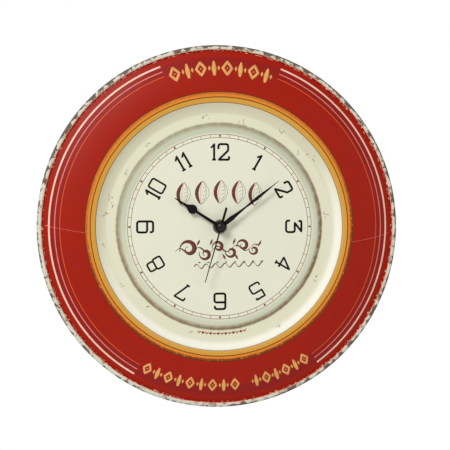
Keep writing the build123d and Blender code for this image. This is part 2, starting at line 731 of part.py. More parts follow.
with BuildPart() as minute_pipe:
    with BuildSketch(front(pipe_back)):
        Circle(MINUTE_PIPE_RADIUS)
    extrude(amount=minute_nut_front + PIPE_PROUD - pipe_back)
    with BuildSketch(front(minute_work_level - PINION_OVERHANG)):
        add(pinion_outline("cannon", MOTION_MODULE), rotation=pinion_phase("cannon", MOTION_LINE))
    extrude(amount=cannon_front - minute_work_level + PINION_OVERHANG)
    with BuildSketch(front(pipe_back)):
        Circle(SECOND_ARBOR_RADIUS + RUNNING_CLEARANCE)
    extrude(amount=minute_nut_front + PIPE_PROUD - pipe_back, mode=Mode.SUBTRACT)
minute_pipe.part.label = "minute_pipe"
export_step(minute_pipe.part, "parts/minute_pipe.step")

with BuildPart() as centre_wheel:
    with BuildSketch(front(centre_level)):
        add(wheel_outline("centre", CENTRE_MODULE), rotation=THIRD_LINE)
        Circle(MINUTE_PIPE_RADIUS, mode=Mode.SUBTRACT)
    extrude(amount=WHEEL_SHEET)
centre_wheel.part.label = "centre_wheel"
export_step(centre_wheel.part, "parts/centre_wheel.step")

with BuildPart() as hour_wheel:
    with BuildSketch(front(hour_wheel_level)):
        add(wheel_outline("hour", hour_module), rotation=MOTION_LINE)
    extrude(amount=WHEEL_SHEET)
    with BuildSketch(front(hour_wheel_level)):
        Circle(HOUR_PIPE_RADIUS)
    extrude(amount=hour_hand_level + HAND_SHEET + HOUR_PIPE_PROUD - hour_wheel_level)
    with BuildSketch(front(hour_wheel_level)):
        Circle(MINUTE_PIPE_RADIUS + RUNNING_CLEARANCE)
    extrude(amount=hour_hand_level + HAND_SHEET + HOUR_PIPE_PROUD - hour_wheel_level, mode=Mode.SUBTRACT)
hour_wheel.part.label = "hour_wheel"
export_step(hour_wheel.part, "parts/hour_wheel.step")

minute_pinion_front = hour_wheel_level + WHEEL_SHEET + FLANGE_PLAY / 2

with BuildPart() as minute_work_wheel:
    with BuildSketch(front(minute_work_level, minute_work_place)):
        add(wheel_outline("minute_work", MOTION_MODULE), rotation=MOTION_LINE + 180.0)
    extrude(amount=WHEEL_SHEET)
    with BuildSketch(front(minute_work_level + WHEEL_SHEET, minute_work_place)):
        add(
            pinion_outline("minute_work_pinion", hour_module),
            rotation=pinion_phase("minute_work_pinion", MOTION_LINE + 180.0),
        )
    extrude(amount=minute_pinion_front - minute_work_level - WHEEL_SHEET)
    with BuildSketch(front(minute_work_level, minute_work_place)):
        Circle(POST_RADIUS + RUNNING_CLEARANCE)
    extrude(amount=minute_pinion_front - minute_work_level, mode=Mode.SUBTRACT)
minute_work_wheel.part.label = "minute_work_wheel"
export_step(minute_work_wheel.part, "parts/minute_work_wheel.step")

setting_top = minute_work_level + WHEEL_SHEET + PINION_OVERHANG

with BuildPart() as setting_shaft:
    with BuildSketch(front(case_back - SHAFT_PROUD, setting_place)):
        Circle(SETTING_SHAFT_RADIUS)
    extrude(amount=setting_top - case_back + SHAFT_PROUD)
    with BuildSketch(front(minute_work_level - PINION_OVERHANG, setting_place)):
        add(pinion_outline("setting", MOTION_MODULE), rotation=pinion_phase("setting", SETTING_LINE + 180.0))
    extrude(amount=setting_top - minute_work_level + PINION_OVERHANG)
setting_shaft.part.label = "setting_shaft"
export_step(setting_shaft.part, "parts/setting_shaft.step")

with BuildPart() as setting_knob:
    with BuildSketch(front(case_back - KNOB_GAP - KNOB_LENGTH, setting_place)):
        Circle(KNOB_RADIUS)
        with PolarLocations(KNOB_RADIUS, KNOB_FLUTES):
            Circle(KNOB_FLUTE_RADIUS, mode=Mode.SUBTRACT)
    extrude(amount=KNOB_LENGTH)
    with BuildSketch(front(case_back - SHAFT_PROUD, setting_place)):
        Circle(SETTING_SHAFT_RADIUS)
    extrude(amount=SHAFT_PROUD - KNOB_GAP, mode=Mode.SUBTRACT)
setting_knob.part.label = "setting_knob"
export_step(setting_knob.part, "parts/setting_knob.step")

# ---- going train: second, third, step and rotor arbors ----------------------------------------
rear_pivot = pivot_seat + PIVOT_END_PLAY
second_pinion_back = third_level - PINION_OVERHANG
second_pinion_front = third_level + WHEEL_SHEET + PINION_OVERHANG
arbor_front = cap_front - CAP_BLIND

with BuildPart() as second_arbor:
    with BuildSketch(front(rear_pivot)):
        Circle(PIVOT_RADIUS)
    extrude(amount=second_level - rear_pivot)
    with BuildSketch(front(second_level)):
        Circle(SECOND_ARBOR_RADIUS)
    extrude(amount=arbor_front - second_level)
    with BuildSketch(front(second_pinion_back)):
        add(
            pinion_outline("second_pinion", second_module),
            rotation=pinion_phase("second_pinion", THIRD_LINE),
        )
    extrude(amount=second_pinion_front - second_pinion_back)
second_arbor.part.label = "second_arbor"
export_step(second_arbor.part, "parts/second_arbor.step")

with BuildPart() as second_wheel:
    with BuildSketch(front(second_level)):
        add(wheel_outline("second", STEP_MODULE), rotation=STEP_LINE)
        Circle(SECOND_ARBOR_RADIUS, mode=Mode.SUBTRACT)
    extrude(amount=WHEEL_SHEET)
second_wheel.part.label = "second_wheel"
export_step(second_wheel.part, "parts/second_wheel.step")

with BuildPart() as third_arbor:
    with BuildSketch(front(rear_pivot, third_place)):
        Circle(PIVOT_RADIUS)
    extrude(amount=third_level - ARBOR_OVERHANG - rear_pivot)
    with BuildSketch(front(third_level - ARBOR_OVERHANG, third_place)):
        Circle(ARBOR_RADIUS)
    extrude(amount=centre_level + WHEEL_SHEET - third_level + 2 * ARBOR_OVERHANG)
    with BuildSketch(front(centre_level - PINION_OVERHANG, third_place)):
        add(
            pinion_outline("third_pinion", CENTRE_MODULE),
            rotation=pinion_phase("third_pinion", THIRD_LINE - 180.0),
        )
    extrude(amount=WHEEL_SHEET + 2 * PINION_OVERHANG)
third_arbor.part.label = "third_arbor"
export_step(third_arbor.part, "parts/third_arbor.step")

with BuildPart() as third_wheel:
    with BuildSketch(front(third_level, third_place)):
        add(wheel_outline("third", second_module), rotation=THIRD_LINE - 180.0)
        Circle(ARBOR_RADIUS, mode=Mode.SUBTRACT)
    extrude(amount=WHEEL_SHEET)
third_wheel.part.label = "third_wheel"
export_step(third_wheel.part, "parts/third_wheel.step")

with BuildPart() as step_arbor:
    with BuildSketch(front(rear_pivot, step_place)):
        Circle(PIVOT_RADIUS)
    extrude(amount=plate_back + FRONT_PIVOT - rear_pivot)
    with BuildSketch(front(second_level - PINION_OVERHANG, step_place)):
        add(
            pinion_outline("step_pinion", STEP_MODULE),
            rotation=pinion_phase("step_pinion", STEP_LINE + 180.0),
        )
    extrude(amount=WHEEL_SHEET + 2 * PINION_OVERHANG)
step_arbor.part.label = "step_arbor"
export_step(step_arbor.part, "parts/step_arbor.step")

with BuildPart() as step_wheel:
    with BuildSketch(front(step_level, step_place)):
        add(wheel_outline("step", STEP_MODULE), rotation=ROTOR_LINE)
        Circle(PIVOT_RADIUS, mode=Mode.SUBTRACT)
    extrude(amount=WHEEL_SHEET)
step_wheel.part.label = "step_wheel"
export_step(step_wheel.part, "parts/step_wheel.step")

magnet_back = core_axis_depth - STATOR_THICKNESS - MAGNET_LENGTH / 2

with BuildPart() as rotor_arbor:
    with BuildSketch(front(rear_pivot, rotor_place)):
        Circle(PIVOT_RADIUS)
    extrude(amount=plate_back + FRONT_PIVOT - rear_pivot)
    with BuildSketch(front(step_level - PINION_OVERHANG, rotor_place)):
        add(
            pinion_outline("rotor_pinion", STEP_MODULE),
            rotation=pinion_phase("rotor_pinion", ROTOR_LINE + 180.0),
        )
    extrude(amount=WHEEL_SHEET + 2 * PINION_OVERHANG)
rotor_arbor.part.label = "rotor_arbor"
export_step(rotor_arbor.part, "parts/rotor_arbor.step")

with BuildPart() as rotor_magnet:
    with BuildSketch(front(magnet_back, rotor_place)):
        Circle(MAGNET_RADIUS)
        Circle(PIVOT_RADIUS, mode=Mode.SUBTRACT)
    extrude(amount=MAGNET_LENGTH)
rotor_magnet.part.label = "rotor_magnet"
export_step(rotor_magnet.part, "parts/rotor_magnet.step")

# ---- hands, each drawn along +x and then turned to its place on the dial ----------------------
hour_stem = HOUR_BULB_PLACE - HOUR_BULB_RADIUS
hour_half = (
    ((0.0, 1.65), (hour_stem, 1.4)),
    ((hour_stem, 1.4), (HOUR_BULB_PLACE, HOUR_BULB_RADIUS), (HOUR_BULB_PLACE + 3.6, 3.5)),
    ((HOUR_BULB_PLACE + 3.6, 3.5), (HOUR_BULB_PLACE + 6.4, 1.95), (HOUR_BULB_PLACE + 10.0, 1.25)),
    ((HOUR_BULB_PLACE + 10.0, 1.25), (HOUR_LENGTH, 0.42)),
)
minute_half = (
    ((0.0, 1.0), (7.5, 2.25), (14.5, 2.45)),
    ((14.5, 2.45), (24.5, 1.42), (34.0, 0.85)),
    ((34.0, 0.85), (41.0, 1.35), (49.0, 1.65)),
    ((49.0, 1.65), (60.0, 1.12), (71.0, 0.45)),
    ((71.0, 0.45), (MINUTE_LENGTH, 0.22)),
)
second_half = (
    ((-SECOND_TAIL, 1.2), (0.0, 1.35)),
    ((0.0, 1.35), (2.5, 0.8)),
    ((2.5, 0.8), (SECOND_LENGTH, 0.4)),
)


def hand_sheet(half_points, hub_radius, bore_radius):
    """A hand's flat outline with its round hub and the bore that grips its pipe."""
    with BuildSketch() as outline:
        add(hand_outline(half_points))
        Circle(hub_radius)
        Circle(bore_radius, mode=Mode.SUBTRACT)
    return outline.sketch


with BuildPart() as hour_hand:
    with BuildSketch(front(hour_hand_level)):
        add(hand_sheet(hour_half, HAND_HUB_RADIUS, HOUR_PIPE_RADIUS), rotation=90 - HOUR_ANGLE)
    extrude(amount=HAND_SHEET)
    with BuildSketch(front(hour_hand_level - HOUR_COLLAR_HEIGHT)):
        Circle(HOUR_PIPE_RADIUS + HOUR_COLLAR)
        Circle(HOUR_PIPE_RADIUS, mode=Mode.SUBTRACT)
    extrude(amount=HOUR_COLLAR_HEIGHT)
hour_hand.part.label = "hour_hand"
export_step(hour_hand.part, "parts/hour_hand.step")

with BuildPart() as minute_hand:
    with BuildSketch(front(minute_hand_level)):
        add(hand_sheet(minute_half, HAND_HUB_RADIUS, MINUTE_PIPE_RADIUS), rotation=90 - MINUTE_ANGLE)
    extrude(amount=HAND_SHEET)
minute_hand.part.label = "minute_hand"
export_step(minute_hand.part, "parts/minute_hand.step")

with BuildPart() as minute_nut:
    with BuildSketch(front(minute_hand_level + HAND_SHEET)):
        RegularPolygon(MINUTE_NUT_RADIUS, 6, major_radius=False)
        Circle(MINUTE_PIPE_RADIUS, mode=Mode.SUBTRACT)
    extrude(amount=minute_nut_front - minute_hand_level - HAND_SHEET)
minute_nut.part.label = "minute_nut"
export_step(minute_nut.part, "parts/minute_nut.step")

with BuildPart() as second_hand:
    with BuildSketch(front(second_hand_level)):
        add(hand_sheet(second_half, SECOND_HUB_RADIUS, SECOND_ARBOR_RADIUS), rotation=90 - SECOND_ANGLE)
    extrude(amount=HAND_SHEET)
second_hand.part.label = "second_hand"
export_step(second_hand.part, "parts/second_hand.step")

cap_back = second_hand_level + HAND_SHEET
cap_shoulder = cap_back + CAP_HEIGHT / 3

with BuildPart() as hub_cap:
    with BuildSketch(turning_plane):
        with BuildLine():
            Polyline((0, cap_front), (0, cap_back), (CAP_RADIUS, cap_back), (CAP_RADIUS, cap_shoulder))
            TangentArc((0, cap_front), (CAP_RADIUS, cap_shoulder), tangent=(1, 0))
        make_face()
    revolve(axis=hand_axis)
    with BuildSketch(front(cap_back)):
        Circle(SECOND_ARBOR_RADIUS)
    extrude(amount=arbor_front - cap_back, mode=Mode.SUBTRACT)
hub_cap.part.label = "hub_cap"
export_step(hub_cap.part, "parts/hub_cap.step")
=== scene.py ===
"""Looks of a pressed-tin wall clock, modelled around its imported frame.

Metres throughout.  +Z is up, the dial faces -Y and the wall is the plane y = 0.  "Depth" is the
distance in front of the wall, so a depth d lies at y = -d.  Places on the dial are polar: a radius
from the hand axis and an angle clockwise from twelve.  Sizes in the sub-assembly classes are in
millimetres, as on a drawing.
"""

import json
import logging
import math
import random
from dataclasses import dataclass, field
from enum import Enum
from typing import Callable, Sequence

import bpy
from mathutils import Matrix, Vector

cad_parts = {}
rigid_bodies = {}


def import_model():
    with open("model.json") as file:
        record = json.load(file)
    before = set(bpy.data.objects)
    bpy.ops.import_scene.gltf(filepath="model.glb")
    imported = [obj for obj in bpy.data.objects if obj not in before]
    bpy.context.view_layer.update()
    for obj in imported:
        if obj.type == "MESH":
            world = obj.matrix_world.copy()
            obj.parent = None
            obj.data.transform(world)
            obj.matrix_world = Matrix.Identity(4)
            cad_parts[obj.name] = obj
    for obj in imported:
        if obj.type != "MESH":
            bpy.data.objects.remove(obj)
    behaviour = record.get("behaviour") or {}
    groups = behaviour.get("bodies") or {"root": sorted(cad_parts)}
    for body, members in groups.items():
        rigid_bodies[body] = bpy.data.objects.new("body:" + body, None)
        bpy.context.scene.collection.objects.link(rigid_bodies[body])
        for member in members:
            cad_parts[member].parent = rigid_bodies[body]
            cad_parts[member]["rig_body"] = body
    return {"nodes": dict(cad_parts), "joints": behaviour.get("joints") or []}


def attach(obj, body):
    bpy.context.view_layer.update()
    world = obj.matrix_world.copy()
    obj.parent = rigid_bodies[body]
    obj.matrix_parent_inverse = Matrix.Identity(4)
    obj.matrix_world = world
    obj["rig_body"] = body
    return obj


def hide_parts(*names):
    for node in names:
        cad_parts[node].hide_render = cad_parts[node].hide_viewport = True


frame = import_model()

MM = 0.001
HAND_JOINT = next(joint["pos_m"] for joint in frame["joints"] if joint["name"] == "minute_turn")
HAND_AXIS = Vector((HAND_JOINT[0], 0.0, HAND_JOINT[2]))
BRIGHTEST = 0.93
WELD = 0.002
NODE_WELD = 0.001
FLAT_WITHIN = 0.6
FULL_TURN = 360.0
HALF_TURN = 180.0
HOME = Matrix.Translation(HAND_AXIS)
Point = tuple[float, float]
Colour = tuple[float, ...]
Piece = bpy.types.Object
Socket = bpy.types.NodeSocket
Node = bpy.types.Node
Sockets = bpy.types.bpy_prop_collection
Material = bpy.types.Material

log = logging.getLogger("wall_clock")


def paint(red: int, green: int, blue: int) -> Colour:
    """Turns a paint-chart colour into a linear one.

    Args:
        red: Red, 0 to 255.
        green: Green, 0 to 255.
        blue: Blue, 0 to 255.

    Returns:
        The linear colour with an alpha of one.
    """

    def linear(value: int) -> float:
        """One channel, from display to linear."""
        share = value / 255
        return share / 12.92 if share <= 0.04045 else ((share + 0.055) / 1.055) ** 2.4

    return (*(min(BRIGHTEST, linear(value)) for value in (red, green, blue)), 1.0)


def on_dial(radius: float, angle: float, depth: float) -> Vector:
    """Gives the point at a polar place on the dial.

    Args:
        radius: Distance from the hand axis, in millimetres.
        angle: Degrees clockwise from twelve.
        depth: Distance in front of the wall, in millimetres.

    Returns:
        The point in metres.
    """
    turn = math.radians(angle)
    return Vector(
        (
            HAND_AXIS.x + radius * math.sin(turn) * MM,
            -depth * MM,
            HAND_AXIS.z + radius * math.cos(turn) * MM,
        )
    )


def arc_points(centre: Point, radius: float, start: float, end: float, count: int) -> list[Point]:
    """Gives points along an arc.

    Args:
        centre: The arc's centre.
        radius: Its radius.
        start: Where it starts, in degrees anticlockwise from the first axis.
        end: Where it ends.
        count: How many spans it has.

    Returns:
        The points, ends included.
    """
    points = []
    for step in range(count + 1):
        turn = math.radians(start + (end - start) * step / count)
        points.append((centre[0] + radius * math.cos(turn), centre[1] + radius * math.sin(turn)))
    return points


def three_point_arc(first: Point, middle: Point, last: Point, count: int) -> list[Point]:
    """Gives points along the arc through three points.

    Args:
        first: Where the arc starts.
        middle: A point on the way.
        last: Where it ends.
        count: How many spans it has.

    Returns:
        The points, ends included.
    """
    (ax, ay), (bx, by), (cx, cy) = first, middle, last
    d = 2 * (ax * (by - cy) + bx * (cy - ay) + cx * (ay - by))
    a2, b2, c2 = ax * ax + ay * ay, bx * bx + by * by, cx * cx + cy * cy
    ux = (a2 * (by - cy) + b2 * (cy - ay) + c2 * (ay - by)) / d
    uy = (a2 * (cx - bx) + b2 * (ax - cx) + c2 * (bx - ax)) / d
    angles = [math.atan2(y - uy, x - ux) for x, y in (first, middle, last)]
    sweep = (angles[2] - angles[0]) % (2 * math.pi)
    if (angles[1] - angles[0]) % (2 * math.pi) > sweep:
        sweep -= 2 * math.pi
    start = math.degrees(angles[0])
    end = start + math.degrees(sweep)
    return arc_points((ux, uy), math.hypot(ax - ux, ay - uy), start, end, count)


def rounded(points: Sequence[Point], radii: Sequence[float], spans: int = 4) -> list[Point]:
    """Rounds the corners of a line of points.

    Args:
        points: The corners, ends included.
        radii: A radius for each inner corner; 0 leaves it sharp.
        spans: How many spans each rounding has.

    Returns:
        The line's points.
    """
    line = [points[0]]
    for before, corner, after, radius in zip(points, points[1:], points[2:], radii):
        if radius <= 0:
            line.append(corner)
            continue
        here = Vector(corner)
        back, on = (Vector(before) - here).normalized(), (Vector(after) - here).normalized()
        half = back.angle(on) / 2
        reach = radius / math.tan(half)
        for step in range(spans + 1):
            share = step / spans
            inner = here + back * reach * (1 - share) ** 2 + on * reach * share**2
            line.append((inner.x, inner.y))
    line.append(points[-1])
    return line


def dense(points: Sequence[Point], step: float) -> list[Point]:
    """Adds points along the straight runs of a line.

    Args:
        points: The line's points.
        step: About how far apart the points come.

    Returns:
        The line with its added points.
    """
    line = [points[0]]
    for (x, y), (to_x, to_y) in zip(points, points[1:]):
        count = max(1, round(math.dist((x, y), (to_x, to_y)) / step))
        for place in range(1, count + 1):
            share = place / count
            line.append((x + (to_x - x) * share, y + (to_y - y) * share))
    return line


class Bench:
    """Blender's modelling operators, used as by hand on one piece at a time."""

    @staticmethod
    def clear() -> None:
        """Leaves edit mode and deselects everything."""
        if bpy.context.object is not None and bpy.context.object.mode != "OBJECT":
            bpy.ops.object.mode_set(mode="OBJECT")
        bpy.ops.object.select_all(action="DESELECT")

    @staticmethod
    def pick(piece: Piece) -> None:
        """Makes a piece the only selected one and the active one."""
        Bench.clear()
        piece.select_set(True)
        bpy.context.view_layer.objects.active = piece

    @staticmethod
    def edit(piece: Piece) -> None:
        """Opens a piece in edit mode with its whole mesh selected."""
        Bench.pick(piece)
        bpy.ops.object.mode_set(mode="EDIT")
        bpy.ops.mesh.select_all(action="SELECT")

    @staticmethod
    def name(piece: Piece, name: str) -> Piece:
        """Names a piece and its mesh."""
        piece.name = name
        piece.data.name = name
        return piece

    @staticmethod
    def lathe(
        name: str,
        line: Sequence[Point],
        start: float = 0.0,
        sweep: float = 360.0,
        steps: int = 288,
    ) -> Piece:
        """Spins a closed line of (radius, depth) points about the hand axis.

        Args:
            name: The piece's name.
            line: The cross-section's corners, in millimetres, in order.
            start: Where the spin starts, in degrees clockwise from twelve.
            sweep: How far it goes.
            steps: How many spans it has.

        Returns:
            The closed piece, its faces outwards.
        """
        corners = [on_dial(radius, start, depth) for radius, depth in line]
        Bench.clear()
        bpy.ops.mesh.primitive_plane_add(size=MM, location=corners[0])
        piece = Bench.name(bpy.context.object, name)
        bpy.ops.object.transform_apply(location=True, rotation=True, scale=True)
        bpy.ops.object.mode_set(mode="EDIT")
        bpy.ops.mesh.select_all(action="SELECT")
        bpy.ops.mesh.merge(type="CENTER")
        for before, after in zip(corners, corners[1:]):
            bpy.ops.mesh.extrude_region_move(TRANSFORM_OT_translate={"value": after - before})
        bpy.ops.mesh.select_all(action="SELECT")
        if abs(sweep) >= FULL_TURN:
            bpy.ops.mesh.select_all(action="DESELECT")
            bpy.ops.object.mode_set(mode="OBJECT")
            for place in (0, len(corners) - 1):
                piece.data.vertices[place].select = True
            bpy.ops.object.mode_set(mode="EDIT")
        bpy.ops.mesh.edge_face_add()
        bpy.ops.mesh.select_all(action="SELECT")
        bpy.ops.mesh.spin(
            steps=steps, angle=math.radians(-sweep), center=HAND_AXIS, axis=(0.0, 1.0, 0.0)
        )
        bpy.ops.mesh.select_all(action="SELECT")
        bpy.ops.mesh.remove_doubles(threshold=WELD * MM)
        bpy.ops.mesh.normals_make_consistent(inside=False)
        bpy.ops.object.mode_set(mode="OBJECT")
        return piece

    @staticmethod
    def smooth(piece: Piece, angle: float) -> None:
        """Shades a piece smooth, but for edges sharper than an angle in degrees."""
        Bench.pick(piece)
        bpy.ops.object.shade_smooth_by_angle(angle=math.radians(angle))

    @staticmethod
    def stroke(line: Sequence[Point], widths: Sequence[float], height: float) -> Piece:
        """Draws a low crowned stroke in the plane of the dial, about the origin.

        Args:
            line: Its (across, up) points, in millimetres.
            widths: Its width at each point, or one width for all of it.
            height: How thick it is at its widest, in millimetres.

        Returns:
            The stroke as a closed mesh.
        """
        Bench.clear()
        bpy.ops.curve.primitive_nurbs_path_add(location=(0.0, 0.0, 0.0))
        piece = bpy.context.object
        curve = piece.data
        curve.splines.clear()
        spline = curve.splines.new("POLY")
        spline.points.add(len(line) - 1)
        broad = max(widths)
        for place, (across, up) in enumerate(line):
            width = widths[place] if len(widths) > 1 else widths[0]
            spline.points[place].co = (across * MM, 0.0, up * MM, 1.0)
            spline.points[place].radius = width / broad
        curve.dimensions = "3D"
        curve.bevel_depth = broad / 2 * MM
        curve.bevel_resolution = 1
        curve.use_fill_caps = True
        bpy.ops.object.convert(target="MESH")
        piece = bpy.context.object
        piece.data.transform(Matrix.Diagonal((1.0, height / broad, 1.0, 1.0)))
        return piece

    @staticmethod
    def join(name: str, pieces: Sequence[Piece]) -> Piece:
        """Joins pieces into one.

        Args:
            name: The joined piece's name.
            pieces: What is joined.

        Returns:
            The joined piece.
        """
        Bench.clear()
        for piece in pieces:
            piece.select_set(True)
        bpy.context.view_layer.objects.active = pieces[0]
        if len(pieces) > 1:
            bpy.ops.object.join()
        return Bench.name(bpy.context.view_layer.objects.active, name)

    @staticmethod
    def copy(piece: Piece, place: Matrix) -> Piece:
        """Copies a piece with its own mesh, and puts the copy's mesh at a place."""
        twin = piece.copy()
        twin.data = piece.data.copy()
        bpy.context.scene.collection.objects.link(twin)
        twin.data.transform(place)
        return twin

    @staticmethod
    def drop(piece: Piece) -> None:
        """Removes a pattern piece once its copies are made."""
        bpy.data.objects.remove(piece)

    @staticmethod
    def drape(piece: Piece, depth_at: Callable[[float], float]) -> None:
        """Lays a flat piece on the face.

        Args:
            piece: The piece, drawn about the plane y = 0.
            depth_at: The face's depth at a radius, both in millimetres.
        """
        for vertex in piece.data.vertices:
            across, up = vertex.co.x - HAND_AXIS.x, vertex.co.z - HAND_AXIS.z
            vertex.co.y -= depth_at(math.hypot(across, up) / MM) * MM

    @staticmethod
    def recut(node: str, bevel: float, angle: float) -> Piece:
        """Copies a CAD node's mesh, merges it, and breaks its edges.

        Args:
            node: The CAD node's name, which the copy replaces.
            bevel: The width of the broken edge, in millimetres.
            angle: Edges sharper than this are broken, and stay sharp in shading.

        Returns:
            The new piece, riding on the node's body.
        """
        source = frame["nodes"][node]
        piece = bpy.data.objects.new(f"{node}_dressed", source.data.copy())
        piece.data.materials.clear()
        bpy.context.scene.collection.objects.link(piece)
        Bench.edit(piece)
        bpy.ops.mesh.remove_doubles(threshold=NODE_WELD * MM)
        bpy.ops.mesh.dissolve_limited(angle_limit=math.radians(FLAT_WITHIN))
        bpy.ops.object.mode_set(mode="OBJECT")
        if piece.data.has_custom_normals:
            bpy.ops.mesh.customdata_custom_splitnormals_clear()
        if bevel > 0:
            cut = piece.modifiers.new("broken_edges", "BEVEL")
            cut.width = bevel * MM
            cut.segments = 2
            cut.limit_method = "ANGLE"
            cut.angle_limit = math.radians(angle)
            cut.use_clamp_overlap = True
            bpy.ops.object.modifier_apply(modifier=cut.name)
        Bench.smooth(piece, angle)
        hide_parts(node)
        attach(piece, source["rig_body"])
        return piece


class Graph:
    """Adds and joins the nodes of one node tree."""

    def __init__(self, tree: bpy.types.NodeTree) -> None:
        """Takes the tree that the nodes go into."""
        self.tree = tree

    def add(self, kind: str, inputs: dict | None = None, **settings: object) -> bpy.types.Node:
        """Adds a node.

        Args:
            kind: The node's type name.
            inputs: Values or sockets for its inputs, by name or number.
            **settings: Its own settings.

        Returns:
            The node.
        """
        node = self.tree.nodes.new(kind)
        for key, value in settings.items():
            setattr(node, key, value)
        for key, value in (inputs or {}).items():
            self.put(node.inputs[key], value)
        return node

    def put(self, socket: Socket, value: object) -> None:
        """Joins a socket to another one, or gives it a value."""
        if isinstance(value, bpy.types.NodeSocket):
            self.tree.links.new(value, socket)
        elif value is not None:
            socket.default_value = value

    def math(self, operation: str, *values: object, clamp: bool = False) -> Socket:
        """Adds a Math node and gives its result."""
        node = self.add("ShaderNodeMath", operation=operation, use_clamp=clamp)
        for socket, value in zip(node.inputs, values):
            self.put(socket, value)
        return node.outputs[0]

    def times(self, first: object, *others: object) -> Socket:
        """Multiplies values together."""
        for other in others:
            first = self.math("MULTIPLY", first, other)
        return first

    def ramp(self, value: Socket, low: object, high: object) -> Socket:
        """Adds a smooth Map Range node that takes low to high onto 0 to 1."""
        node = self.add("ShaderNodeMapRange", {"Value": value, "From Min": low, "From Max": high})
        node.interpolation_type = "SMOOTHSTEP"
        return node.outputs["Result"]

    def mix(self, mask: object, under: object, over: object) -> Socket:
        """Adds a colour Mix node: the mask lays the second colour over the first."""
        node = self.add("ShaderNodeMix", {0: mask, 6: under, 7: over}, data_type="RGBA")
        return node.outputs[2]

    def noise(
        self, place: Socket, scale: object, detail: float = 2.0, rough: float = 0.5
    ) -> Sockets:
        """Adds a Noise Texture and gives its outputs."""
        inputs = {"Vector": place, "Scale": scale, "Detail": detail, "Roughness": rough}
        return self.add("ShaderNodeTexNoise", inputs).outputs

    def group(self, tree: bpy.types.NodeTree, **inputs: object) -> Sockets:
        """Places a shared node group with its own values and gives its outputs."""
        return self.add("ShaderNodeGroup", inputs, node_tree=tree).outputs

    def cloud(self, place: Socket, scale: float, cover: object, soft: float) -> Socket:
        """Masks cloudy patches over a share of the surface."""
        values = {"Scale": scale, "Cover": cover, "Soft": soft}
        return self.group(EFFECTS.cloud, POSITION=place, **values)["Mask"]

    def specks(self, place: Socket, scale: float, size: float, share: float) -> Socket:
        """Masks specks in a share of the cells of a grid."""
        values = {"Scale": scale, "Size": size, "Share": share}
        return self.group(EFFECTS.specks, POSITION=place, **values)["Mask"]

    def grain(self, place: Socket, scale: float, wave: float) -> Socket:
        """Gives fine relief over a slow wave."""
        return self.group(EFFECTS.grain, POSITION=place, Scale=scale, Wave=wave)["Height"]

    def bump(self, shader: Node, height: Socket, strength: float, depth: float) -> None:
        """Gives a shader relief of some strength and of a depth in millimetres."""
        inputs = {"Height": height, "Strength": strength, "Distance": depth * MM}
        self.put(shader.inputs["Normal"], self.add("ShaderNodeBump", inputs).outputs["Normal"])


